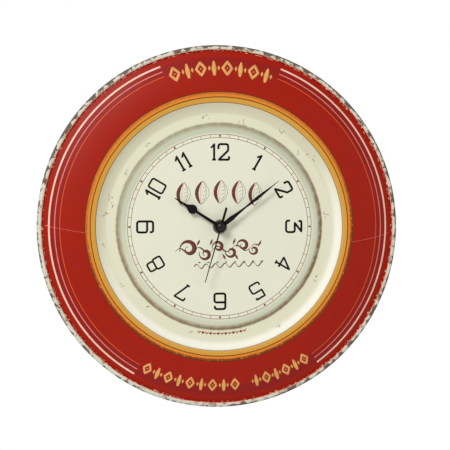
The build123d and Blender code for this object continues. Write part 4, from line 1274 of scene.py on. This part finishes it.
class Digit:
    """The dial's square, round-cornered numerals, as pen lines about 16 mm high.

    Each figure has its width and its lines; each line has its corners and their radii.
    """

    HEIGHT = 16.2
    WEIGHT = 2.3
    STEP = 0.5
    LINES: dict[str, tuple[float, list[tuple[list[Point], list[float]]]]] = {
        "0": (10.0, [([(5, 16.2), (10, 16.2), (10, 0), (0, 0), (0, 16.2), (5, 16.2)], [2.2] * 4)]),
        "1": (4.6, [
            ([(0, 12.2), (3.4, 16.0), (4.4, 16.2)], [0.6]),
            ([(3.4, 16.2), (3.4, 0)], []),
            ([(1.3, 0), (5.3, 0)], []),
        ]),
        "2": (11.0, [(
            [(0, 11.0), (0, 16.2), (10.2, 16.2), (10.2, 9.6), (0.4, 0), (11.0, 0), (11.2, 3.6)],
            [2.4, 2.4, 2.0, 0, 1.2],
        )]),
        "3": (12.2, [(
            [
                (0.4, 13.0), (0.4, 16.2), (11.4, 16.2), (2.2, 9.2),
                (12.0, 9.2), (12.0, 0), (0, 0), (0, 4.2),
            ],
            [1.2, 0, 0, 2.4, 2.6, 2.4],
        )]),
        "4": (11.4, [
            ([(11.4, 4.8), (0, 4.8), (8.2, 16.2), (8.2, 0)], [0, 0]),
            ([(6.2, 0), (10.2, 0)], []),
        ]),
        "5": (11.6, [
            (
                [(10.0, 16.2), (0.6, 16.2), (0.6, 9.2), (11.4, 9.2), (11.4, 0), (0, 0), (0, 3.8)],
                [0, 0, 2.6, 2.6, 2.4],
            ),
            ([(10.0, 14.2), (10.0, 17.0)], []),
        ]),
        "6": (11.4, [(
            [(11.0, 12.8), (11.0, 16.2), (0, 16.2), (0, 0), (11.4, 0), (11.4, 9.2), (0, 9.2)],
            [2.4] * 5,
        )]),
        "7": (11.0, [
            ([(0, 12.6), (0.4, 16.2), (11.0, 16.2), (3.6, 0)], [1.0, 0]),
            ([(1.6, 0), (5.6, 0)], []),
        ]),
        "8": (11.4, [
            ([(5.7, 8.8), (11.4, 8.8), (11.4, 0), (0, 0), (0, 8.8), (5.7, 8.8)], [2.2] * 4),
            (
                [(5.7, 8.8), (10.2, 8.8), (10.2, 16.2), (1.2, 16.2), (1.2, 8.8), (5.7, 8.8)],
                [2.2] * 4,
            ),
        ]),
        "9": (11.4, [(
            [(0.2, 3.4), (0.2, 0), (11.4, 0), (11.4, 16.6), (0, 16.6), (0, 6.2), (11.4, 6.2)],
            [2.4] * 5,
        )]),
    }

    def __init__(self, height: float) -> None:
        """Takes the height of the ink above the face, in millimetres."""
        self.ink = height
        self._cut: dict[str, Piece] = {}

    def get(self, figure: str) -> tuple[Piece, float]:
        """Gives a figure's pattern, drawn once.

        Args:
            figure: The figure, 0 to 9.

        Returns:
            The pattern and its width in millimetres.
        """
        width, lines = self.LINES[figure]
        if figure not in self._cut:
            strokes = []
            for points, radii in lines:
                line = rounded(points, radii) if len(points) > 2 else points
                strokes.append(Bench.stroke(dense(line, self.STEP), [self.WEIGHT], self.ink))
            self._cut[figure] = Bench.join(f"figure_{figure}", strokes)
        return self._cut[figure], width

    def clear(self) -> None:
        """Removes the patterns."""
        for piece in self._cut.values():
            Bench.drop(piece)


def upright(radius: float, angle: float, up: float = 0.0, across: float = 0.0) -> Matrix:
    """Gives the place of a drawing whose top points outwards.

    Args:
        radius: Where its origin comes, in millimetres from the hand axis.
        angle: Degrees clockwise from twelve.
        up: An extra shift upwards in the drawing's own frame.
        across: An extra shift across in the drawing's own frame.

    Returns:
        The matrix that takes the drawing there.
    """
    shift = Matrix.Translation(Vector((across, 0.0, radius + up)) * MM)
    return HOME @ Matrix.Rotation(math.radians(angle), 4, "Y") @ shift


@dataclass
class Print:
    """What every printed sub-assembly shares: its palette and the face it lies on."""

    palette: Palette
    face: Face

    def lay(self, name: str, strokes: Sequence[Piece], ink: str, flat: bool = True) -> None:
        """Joins strokes into one piece, lays it on the face and inks it.

        Args:
            name: The piece's name.
            strokes: What is joined.
            ink: Its finish.
            flat: Whether the strokes are drawn flat and still have to follow the face.
        """
        piece = Bench.join(name, strokes)
        if flat:
            Bench.drape(piece, self.face.depth_at)
        self.palette.dress(piece, ink)
        seat(piece, "case")


@dataclass
class DialPrint(Print):
    """The numerals and the minute track on the cream dial."""

    ink: float = 0.09
    middle_radius: float = 78.0
    spacing: float = 3.3
    track_inner: float = 93.0
    track_outer: float = 96.5
    track_line: float = 0.62
    track_rise: float = 0.035
    track_steps: int = 180
    tick: tuple[float, float] = (0.5, 0.06)
    diamond: tuple[float, float, float, float] = (2.8, 0.2, 2.6, 0.12)

    def build(self) -> None:
        """Prints the dial."""
        self.numerals()
        self.track()

    def numerals(self) -> None:
        """Copies the figures to the twelve hours."""
        digits = Digit(self.ink)
        for hour in range(1, 13):
            parts = [digits.get(figure) for figure in str(hour)]
            total = sum(width for _, width in parts) + self.spacing * (len(parts) - 1)
            start = -total / 2
            angle, down = FULL_TURN / 12 * hour, -Digit.HEIGHT / 2
            copies = []
            for pattern, width in parts:
                place = upright(self.middle_radius, angle, up=down, across=start)
                copies.append(Bench.copy(pattern, place))
                start += width + self.spacing
            self.lay(f"numeral_{hour}", copies, "ink_black")
        digits.clear()

    def ring(self, radius: float) -> Piece:
        """Spins one thin printed ring about a middle radius."""
        half, depth, rise = self.track_line / 2, self.face.plateau[1], self.track_rise
        inner, outer = (radius - half, depth), (radius + half, depth)
        line = [inner, (radius, depth + rise), outer, (radius, depth - rise), inner]
        return Bench.lathe("ring", line, steps=self.track_steps)

    def track(self) -> None:
        """Draws the two rings, the minute ticks and the five-minute diamonds."""
        rings = [self.ring(radius) for radius in (self.track_inner, self.track_outer)]
        length = self.track_outer - self.track_inner
        middle = (self.track_inner + self.track_outer) / 2
        tall, tip, wide, thick = self.diamond
        tick = Bench.stroke([(0, 0), (0, length)], self.tick[:1], self.tick[1])
        diamond = Bench.stroke([(0, -tall / 2), (0, 0), (0, tall / 2)], [tip, wide, tip], thick)
        minutes = [minute for minute in range(60) if minute % 5]
        ticks = [Bench.copy(tick, upright(self.track_inner, FULL_TURN / 60 * m)) for m in minutes]
        marks = [Bench.copy(diamond, upright(middle, FULL_TURN / 12 * hour)) for hour in range(12)]
        self.lay("minute_ticks", ticks, "ink_track")
        self.lay("minute_rings", rings, "ink_track", flat=False)
        self.lay("hour_diamonds", marks, "ink_diamond")
        Bench.drop(tick)
        Bench.drop(diamond)


@dataclass
class BorderPrint(Print):
    """Pinstripes and rows of plain ornaments on the red border."""

    ink: float = 0.1
    stripes: tuple[tuple[str, float, float, str], ...] = (
        ("broad", 177.5, 1.8, "ink_rose"),
        ("middle", 171.7, 1.05, "ink_rose_fine"),
        ("fine", 166.4, 0.85, "ink_orange"),
    )
    spans: tuple[tuple[str, float, float], ...] = (("right", 21.6, 144.0), ("left", 210.2, 339.7))
    stripe_steps: int = 128
    stripe_smooth: float = 40.0
    rows: tuple[tuple[str, float, float, float, int, float, bool], ...] = (
        ("upper_ornaments", 165.5, 341.1, 379.8, 8, 1.08, False),
        ("lower_ornaments_right", 166.2, 145.4, 168.3, 6, 0.88, True),
        ("lower_ornaments_left", 166.2, 172.3, 209.2, 9, 0.88, True),
    )
    lozenge: Point = (4.5, 6.4)
    lozenge_line: float = 3.0
    lozenge_step: float = 1.6
    lap: Point = (0.2, 0.8)
    dot: tuple[float, float, float] = (0.9, 0.4, 1.9)
    spindle_half: float = 7.2
    spindle_step: float = 1.2
    spindle_widths: Point = (1.2, 4.2)
    spindle_power: float = 0.7
    bead_at: float = 4.6
    bead: tuple[float, float, float] = (2.3, 0.6, 2.8)

    def build(self) -> None:
        """Prints the border."""
        for label, radius, width, ink in self.stripes:
            for side, start, end in self.spans:
                self.stripe(f"pinstripe_{label}_{side}", radius, width, start, end, ink)
        for row in self.rows:
            self.row(*row)

    def stripe(
        self, name: str, radius: float, width: float, start: float, end: float, ink: str
    ) -> None:
        """Spins one pinstripe along the dome.

        Args:
            name: The piece's name.
            radius: Its middle radius.
            width: Its width.
            start: Where it starts, in degrees clockwise from twelve.
            end: Where it ends.
            ink: Its finish.
        """
        line = []
        for place in (-1.0, -0.5, 0.0, 0.5, 1.0):
            here = radius + place * width / 2
            lift = self.ink / 2 * (1 - place * place)
            line.append((here, self.face.depth_at(here) + lift))
        line.append((radius, self.face.depth_at(radius) - self.ink))
        piece = Bench.lathe(name, line, start=start, sweep=end - start, steps=self.stripe_steps)
        Bench.smooth(piece, self.stripe_smooth)
        self.lay(name, [piece], ink, flat=False)

    def motifs(self, scale: float) -> list[Piece]:
        """Draws the two ornaments, an open lozenge and a spindle between two beads.

        Args:
            scale: Their size.

        Returns:
            The two patterns.
        """
        wide, tall = (size * scale for size in self.lozenge)
        lap = (wide * self.lap[0], tall * self.lap[1])
        ring = [(0, tall), (wide, 0), (0, -tall), (-wide, 0), (0, tall), lap]
        line = dense(ring, self.lozenge_step)
        lozenge = Bench.stroke(line, [self.lozenge_line * scale], self.ink)
        reach, tip, thick = self.dot
        widths = [tip, thick * scale, tip]
        dot = Bench.stroke([(-reach, 0), (0, 0), (reach, 0)], widths, self.ink)
        first = Bench.join("lozenge", [lozenge, dot])
        half = self.spindle_half * scale
        line = dense([(0, half), (0, -half)], self.spindle_step)
        middle = len(line) // 2
        thin, swell = self.spindle_widths
        widths = []
        for place in range(len(line)):
            share = (1 - abs(place - middle) / middle) ** self.spindle_power
            widths.append((thin + swell * share) * scale)
        spindle = Bench.stroke(line, widths, self.ink)
        reach, tip, thick = self.bead
        beads = []
        for at in (-self.bead_at * scale, self.bead_at * scale):
            line = [(at, reach * scale), (at, 0), (at, -reach * scale)]
            beads.append(Bench.stroke(line, [tip, thick * scale, tip], self.ink))
        return [first, Bench.join("spindle", [spindle, *beads])]

    def row(
        self,
        name: str,
        radius: float,
        start: float,
        end: float,
        count: int,
        scale: float,
        flip: bool,
    ) -> None:
        """Sets a row of ornaments along an arc.

        Args:
            name: The piece's name.
            radius: The row's middle radius.
            start: The angle where the row starts.
            end: The angle where it ends.
            count: How many ornaments it has.
            scale: Their size.
            flip: Whether their tops point inwards.
        """
        patterns = self.motifs(scale)
        pitch = (end - start) / count
        turn = Matrix.Rotation(math.pi if flip else 0.0, 4, "Y")
        copies = []
        for place in range(count):
            spot = upright(radius, start + pitch * (place + 0.5)) @ turn
            copies.append(Bench.copy(patterns[place % 2], spot))
        for pattern in patterns:
            Bench.drop(pattern)
        self.lay(name, copies, "ink_tan")


@dataclass
class Emblems(Print):
    """The centre print: half-filled leaves, a scroll, a small rule below the dial, scratches."""

    ink: float = 0.08
    leaves: tuple[Point, ...] = (
        (-38.5, 34.0), (-19.0, 35.5), (0.5, 36.5), (19.5, 36.0), (37.0, 34.0),
    )
    leaf_lean: float = 4.0
    leaf_height: float = 25.0
    leaf_half: float = 8.0
    leaf_spans: int = 14
    vein_heights: tuple[float, ...] = (-6.5, -2.5, 1.5, 5.5)
    curls: tuple[tuple[float, float, float, int], ...] = (
        (-33.0, -23.0, 9.4, 1),
        (-15.5, -28.5, 6.4, -1),
        (-2.0, -21.0, 6.2, 1),
        (11.5, -26.5, 6.0, -1),
        (24.0, -19.5, 6.4, 1),
        (35.5, -24.5, 5.0, -1),
    )
    curl_turns: float = 1.3
    curl_spans: int = 22
    curl_shrink: float = 0.8
    leaflets: tuple[tuple[float, float, float], ...] = (
        (-22.5, -16.5, 28.0),
        (-9.0, -16.0, 22.0),
        (4.5, -31.5, 150.0),
        (17.5, -31.5, 150.0),
        (15.0, -15.5, 22.0),
        (42.0, -17.5, 28.0),
    )
    leaflet_half: float = 3.8
    stem_points: int = 99
    wave_points: int = 122
    wave_beads: int = 8
    rule_radius: float = 112.0
    rule_start: float = 191.0
    rule_pitch: float = 2.05
    rule_marks: int = 13
    seed: int = 7
    nicks: tuple[Point, ...] = (
        (121.0, 52.0), (122.5, 55.0), (114.0, 47.0), (121.0, 150.0), (120.0, 276.0), (124.0, 262.0),
        (113.0, 300.0), (112.0, 12.0), (115.5, 196.0), (114.0, 282.0), (118.0, 285.0),
        (112.5, 318.0), (117.0, 352.0), (119.0, 33.0), (113.5, 84.0), (116.0, 118.0),
        (112.5, 222.0), (118.5, 240.0),
    )
    hairs: tuple[Point, ...] = ((270.5, 267.7), (92.3, 96.7))
    hair_radii: Point = (181.5, 141.0)
    hair_spans: int = 24
    hair_width: float = 0.3

    def build(self) -> None:
        """Prints the centre."""
        self.leaf_row()
        self.scroll()
        self.rule()
        self.scratches()

    def drawn(self, line: Sequence[Point], widths: Sequence[float], place: Matrix = HOME) -> Piece:
        """Draws a stroke and puts it at a place, the hand axis if none is given."""
        stroke = Bench.stroke(line, widths, self.ink)
        stroke.data.transform(place)
        return stroke

    def bow(self, side: float, share: float) -> list[Point]:
        """Gives one side of a pointed leaf.

        Args:
            side: -1 for the left side, 1 for the right.
            share: How far out it bows, as a share of the leaf's half width.

        Returns:
            The points, from foot to tip.
        """
        points = []
        for step in range(self.leaf_spans + 1):
            t = step / self.leaf_spans
            out = math.sin(math.pi * t) ** 0.9 * self.leaf_half * share
            points.append((side * out, (t - 0.5) * self.leaf_height))
        return points

    def leaf_row(self) -> None:
        """Draws five leaves: a full dark side, a pale echo and fine veins."""
        swell = [math.sin(math.pi * i / self.leaf_spans) for i in range(self.leaf_spans + 1)]
        side = (self.bow(-1, 0.66), [0.45 + 3.9 * share**0.7 for share in swell])
        echo = (self.bow(-1, 0.2), [1.1])
        veins = [(self.bow(1, 0.95), [0.42]), (self.bow(1, 0.62), [0.34])]
        for height in self.vein_heights:
            veins.append(([(0.6, height - 1.2), (4.4, height + 1.6)], [0.32]))
        lean = Matrix.Rotation(math.radians(self.leaf_lean), 4, "Y")
        spots = [HOME @ Matrix.Translation(Vector((x, 0.0, z)) * MM) @ lean for x, z in self.leaves]
        for name, shapes, ink in (
            ("leaf_sides", [side], "ink_maroon"),
            ("leaf_echoes", [echo], "ink_pink"),
            ("leaf_veins", veins, "ink_hair"),
        ):
            self.lay(name, [self.drawn(*shape, spot) for spot in spots for shape in shapes], ink)

    def curl(self, centre: Point, radius: float, start: float, way: int) -> list[Point]:
        """Gives a curl that winds inwards.

        Args:
            centre: Its centre.
            radius: Its outer radius.
            start: The angle where it starts, in degrees.
            way: 1 for anticlockwise, -1 for clockwise.

        Returns:
            The points, from outside to inside.
        """
        points = []
        count = int(self.curl_spans * self.curl_turns)
        for step in range(count + 1):
            t = step / count
            turn = math.radians(start + way * FULL_TURN * self.curl_turns * t)
            here = radius * (1 - self.curl_shrink * t)
            points.append((centre[0] + here * math.cos(turn), centre[1] + here * math.sin(turn)))
        return points

    def scroll(self) -> None:
        """Draws a running scroll of curls above a finer, wavy line of beads."""
        stem, swell = [], []
        for i in range(self.stem_points):
            stem.append((-47 + i * 0.9, -26.0 + 3.0 * math.sin(i * 0.285) + 0.05 * i))
            swell.append(0.5 + 1.5 * math.sin(i * 0.1425) ** 2)
        fine = [self.drawn(stem, swell)]
        dark = []
        for x, z, radius, way in self.curls:
            line = self.curl((x, z), radius, 200 if way > 0 else 160, -way)
            count = len(line) - 1
            swing = [math.sin(math.pi * min(1.0, i / count * 1.2)) ** 1.4 for i in range(count + 1)]
            dark.append(self.drawn(line, [0.7 + radius * 0.54 * share for share in swing]))
        for x, z, lean in self.leaflets:
            turn = math.radians(lean)
            over, up = self.leaflet_half * math.sin(turn), self.leaflet_half * math.cos(turn)
            line = [(x - over, z - up), (x, z), (x + over, z + up)]
            dark.append(self.drawn(line, [0.3, 2.8, 0.3]))
        wave, swell = [], []
        for i in range(self.wave_points):
            wave.append((-27 + i * 0.6, -41.5 + 2.2 * math.sin(i * 0.38) + 0.022 * i))
            swell.append(0.45 + abs(math.cos(i * 0.19)))
        fine.append(self.drawn(wave, swell))
        for i in range(self.wave_beads):
            x, z = -21.5 + i * 9.4, -37.4 + 0.2 * i
            fine.append(self.drawn([(x - 1.5, z), (x, z), (x + 1.5, z)], [0.3, 1.7, 0.3]))
        self.lay("scroll_curls", dark, "ink_maroon")
        self.lay("scroll_lines", fine, "ink_hair")

    def rule(self) -> None:
        """Draws the small red rule of beads and dashes on the ring below the dial."""
        dash = ([(-1.6, 0), (0, 0), (1.6, 0)], [0.5, 3.6, 0.5])
        bead = ([(-1.8, -1.0), (0, 0.8), (1.8, -1.0)], [1.0, 1.6, 1.0])
        strokes = []
        for place in range(self.rule_marks):
            spot = upright(self.rule_radius, self.rule_start - place * self.rule_pitch)
            strokes.append(self.drawn(*(dash if place % 2 else bead), spot))
        self.lay("rule_beads", strokes, "ink_red")

    def scratches(self) -> None:
        """Draws the few scratches that age the cream ring and the red border."""
        draw = random.Random(self.seed)
        brown, white = [], []
        for radius, angle in self.nicks:
            for _ in range(3):
                spot = upright(radius + draw.uniform(-2, 2), angle + draw.uniform(-1.5, 1.5))
                lean = draw.uniform(0, math.pi)
                length = draw.uniform(0.9, 2.3)
                x, z = length * math.cos(lean), length * math.sin(lean)
                line = [(-x, -z), (z * 0.25, -x * 0.25), (x, z)]
                brown.append(self.drawn(line, [0.2, draw.uniform(0.6, 1.0), 0.2], spot))
        self.lay("ring_scratches", brown, "scratch_brown")
        outer, inner = self.hair_radii
        for start, end in self.hairs:
            line = []
            for step in range(self.hair_spans + 1):
                share = step / self.hair_spans
                radius = outer + (inner - outer) * share
                spot = on_dial(radius, start + (end - start) * share, 0.0) - HAND_AXIS
                line.append((spot.x / MM, spot.z / MM))
            white.append(self.drawn(line, [self.hair_width]))
        tick = [(-1.9, 0.1), (0.2, 0.3), (1.6, 0.4)]
        spot = upright(179.6, 270.4) @ Matrix.Rotation(math.pi / 2, 4, "Y")
        white.append(self.drawn(tick, [0.7, 1.5, 1.2], spot))
        self.lay("border_scratches", white, "ink_rose_fine")


@dataclass
class Dressing:
    """The CAD nodes that keep their shape: some get broken edges, all get a finish."""

    palette: Palette
    recut: tuple[tuple[str, str, str, float, float], ...] = (
        ("back_band", "band_enamel", "tin_grey", 0.0, 30.0),
        ("hanger_plate", "zinc", "zinc_steel", 0.12, 30.0),
        ("hanger_rivets", "zinc", "zinc_steel", 0.0, 30.0),
        ("dial_washer", "washer_grey", "nickel", 0.1, 30.0),
        ("hex_nut", "nut_lacquer", "brass", 0.12, 30.0),
        ("threaded_bushing", "brass", "brass", 0.1, 30.0),
        ("movement_case", "moulded_black", "case_black", 0.18, 40.0),
        ("movement_cover", "moulded_black", "case_black", 0.18, 40.0),
        ("setting_knob", "knob_black", "case_black", 0.12, 30.0),
        ("hour_hand", "hand_lacquer", "hand_black", 0.1, 40.0),
        ("minute_hand", "hand_lacquer", "hand_black", 0.1, 40.0),
        ("second_hand", "hand_lacquer", "hand_black", 0.06, 40.0),
        ("minute_nut", "nut_lacquer", "brass", 0.1, 30.0),
        ("hub_cap", "cap_lacquer", "hand_black", 0.0, 30.0),
    )
    painted: tuple[tuple[str, tuple[str, ...]], ...] = (
        ("gasket_rubber", ("gasket",)),
        ("frame_clear", ("middle_plate",)),
        ("core_steel", ("stator", "coil_core", "second_arbor")),
        ("wheel_white", ("coil_bobbin", "centre_wheel", "hour_wheel", "minute_work_wheel")),
        ("wheel_white", ("second_wheel", "third_wheel", "step_wheel")),
        ("wheel_white", ("third_arbor", "step_arbor", "rotor_arbor")),
        ("coil_copper", ("coil_winding",)),
        ("board_green", ("circuit_board",)),
        ("nickel", ("quartz_crystal", "positive_contact", "negative_contact")),
        ("chip_black", ("control_chip",)),
        ("brass", ("minute_pipe",)),
        ("knob_black", ("setting_shaft",)),
        ("magnet_grey", ("rotor_magnet",)),
        ("battery_sleeve", ("battery",)),
    )

    def build(self) -> None:
        """Dresses every node."""
        for node, finish, slot, bevel, angle in self.recut:
            piece = Bench.recut(node, bevel, angle)
            self.palette.dress(piece, finish)
            log.info("%s: %d faces, recut", node, len(piece.data.polygons))
        for finish, nodes in self.painted:
            for node in nodes:
                self.palette.dress_node(node, finish)
                log.info("%s: finished in %s", node, finish)


@dataclass
class Mouldings:
    """The low ribs moulded on the back of the movement's cover."""

    palette: Palette
    back: float = 8.4
    rise: float = 0.3
    sink: float = 0.15
    round: float = 0.12
    bars: tuple[tuple[float, float, float, float], ...] = (
        (0.0, 25.4, 51.0, 0.9),
        (0.0, -8.6, 51.0, 0.9),
        (-25.4, 8.4, 0.9, 34.0),
        (25.4, 8.4, 0.9, 34.0),
        (-15.0, 20.5, 14.0, 0.9),
        (-15.0, 17.7, 14.0, 0.9),
        (-15.0, 14.9, 14.0, 0.9),
        (-15.0, 12.1, 14.0, 0.9),
    )

    def build(self) -> None:
        """Moulds the ribs as one piece."""
        ribs = [self.bar(*bar) for bar in self.bars]
        piece = Bench.join("cover_ribs", ribs)
        self.palette.dress(piece, "moulded_black")
        seat(piece, "case")

    def bar(self, across: float, up: float, wide: float, tall: float) -> Piece:
        """Makes one rib with soft edges.

        Args:
            across: Its centre, to the right of the hand axis as seen from the front.
            up: Its centre above the hand axis.
            wide: Its width.
            tall: Its height.

        Returns:
            The rib.
        """
        Bench.clear()
        middle = self.back - (self.rise - self.sink) / 2
        place = HAND_AXIS + Vector((across, -middle, up)) * MM
        bpy.ops.mesh.primitive_cube_add(size=1.0, location=place)
        piece = Bench.name(bpy.context.object, "rib")
        piece.scale = Vector((wide, self.rise + self.sink, tall)) * MM
        bpy.ops.object.transform_apply(location=True, rotation=True, scale=True)
        edges = piece.modifiers.new("edges", "BEVEL")
        edges.width = self.round * MM
        edges.segments = 2
        bpy.ops.object.modifier_apply(modifier="edges")
        return piece


@dataclass
class Studio:
    """The floor, the light and the camera; its lengths are in metres."""

    azimuth: float = -7.0
    elevation: float = 1.5
    distance: float = 1.8
    frame_width: float = 0.4725
    aim_right: float = 0.00665
    aim_up: float = 0.0015
    aim_out: float = 0.015
    sensor: float = 36.0
    floor_drop: float = 0.55
    floor_radius: float = 1.7
    floor_sides: int = 96
    glow: float = 0.4
    glow_colour: Colour = (1.0, 0.99, 0.96, 1.0)
    backdrop: Colour = (1.0, 1.0, 1.0, 1.0)
    lamp_colour: Colour = (1.0, 0.98, 0.945)
    lamps: tuple[tuple[str, Colour, float, float], ...] = (
        ("key_light", (-1.3, -1.7, 1.25), 0.8, 44.0),
        ("fill_light", (1.6, -1.6, 0.1), 1.4, 6.0),
        ("back_light", (0.6, 1.9, 0.8), 1.4, 14.0),
    )

    def build(self) -> None:
        """Sets up everything that isn't the clock."""
        self.floor()
        self.world()
        self.lights()
        self.camera()

    def floor(self) -> None:
        """Lays a wide pale floor below the clock."""
        Bench.clear()
        bpy.ops.mesh.primitive_circle_add(
            vertices=self.floor_sides,
            radius=self.floor_radius,
            fill_type="NGON",
            location=(0.0, 0.0, HAND_AXIS.z - self.floor_drop),
        )
        floor = Bench.name(bpy.context.object, "studio_floor")
        bpy.ops.object.transform_apply(location=True, rotation=True, scale=True)
        finish = Finish(
            "studio_pale", paint(244, 244, 242), paint(240, 240, 238), paint(236, 235, 232),
            roughness=0.8, cloud_scale=0.004, dirt_cover=0.1, speck_share=0.0,
            grain_scale=0.4, bump=0.05,
        )
        floor.data.materials.append(finish.build())

    def world(self) -> None:
        """Fills the scene with even white light."""
        world = bpy.data.worlds.new("studio")
        world.use_nodes = True
        graph = Graph(world.node_tree)
        backdrop = world.node_tree.nodes["Background"]
        seen = graph.add("ShaderNodeLightPath").outputs["Is Camera Ray"]
        tint = graph.mix(seen, self.glow_colour, self.backdrop)
        graph.put(backdrop.inputs["Color"], tint)
        strength = graph.math("MULTIPLY_ADD", seen, 1.0 - self.glow, self.glow)
        graph.put(backdrop.inputs["Strength"], strength)
        bpy.context.scene.world = world
        bpy.context.scene.view_settings.view_transform = "Standard"

    def lights(self) -> None:
        """Hangs a key light at the upper left, a weak fill at the right and one behind."""
        for name, place, size, power in self.lamps:
            light = bpy.data.lights.new(name, "AREA")
            light.energy = power
            light.color = self.lamp_colour
            light.size = size
            lamp = bpy.data.objects.new(name, light)
            lamp.location = place
            lamp.rotation_euler = (HAND_AXIS - Vector(place)).to_track_quat("-Z", "Y").to_euler()
            bpy.context.scene.collection.objects.link(lamp)

    def camera(self) -> None:
        """Places the camera left of the dial's axis, far off, with a long lens."""
        turn, rise = math.radians(self.azimuth), math.radians(self.elevation)
        flat = math.cos(rise)
        away = Vector((math.sin(turn) * flat, -math.cos(turn) * flat, math.sin(rise)))
        right = Vector((math.cos(turn), math.sin(turn), 0.0))
        centre = Vector((0.0, -self.aim_out, HAND_AXIS.z + self.aim_up))
        target = centre + right * self.aim_right
        lens = bpy.data.cameras.new("camera")
        lens.sensor_width = self.sensor
        lens.lens = self.sensor * self.distance / self.frame_width
        camera = bpy.data.objects.new("camera", lens)
        camera.location = target + away * self.distance
        camera.rotation_euler = (-away).to_track_quat("-Z", "Y").to_euler()
        bpy.context.scene.collection.objects.link(camera)
        bpy.context.scene.camera = camera


def main() -> None:
    """Builds the clock's looks in order."""
    logging.basicConfig(level=logging.INFO, format="%(message)s")
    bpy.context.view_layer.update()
    palette = Palette()
    face = Face(palette)
    face.build()
    DialPrint(palette, face).build()
    BorderPrint(palette, face).build()
    Emblems(palette, face).build()
    Dressing(palette).build()
    Mouldings(palette).build()
    Studio().build()


if __name__ == "__main__":
    main()
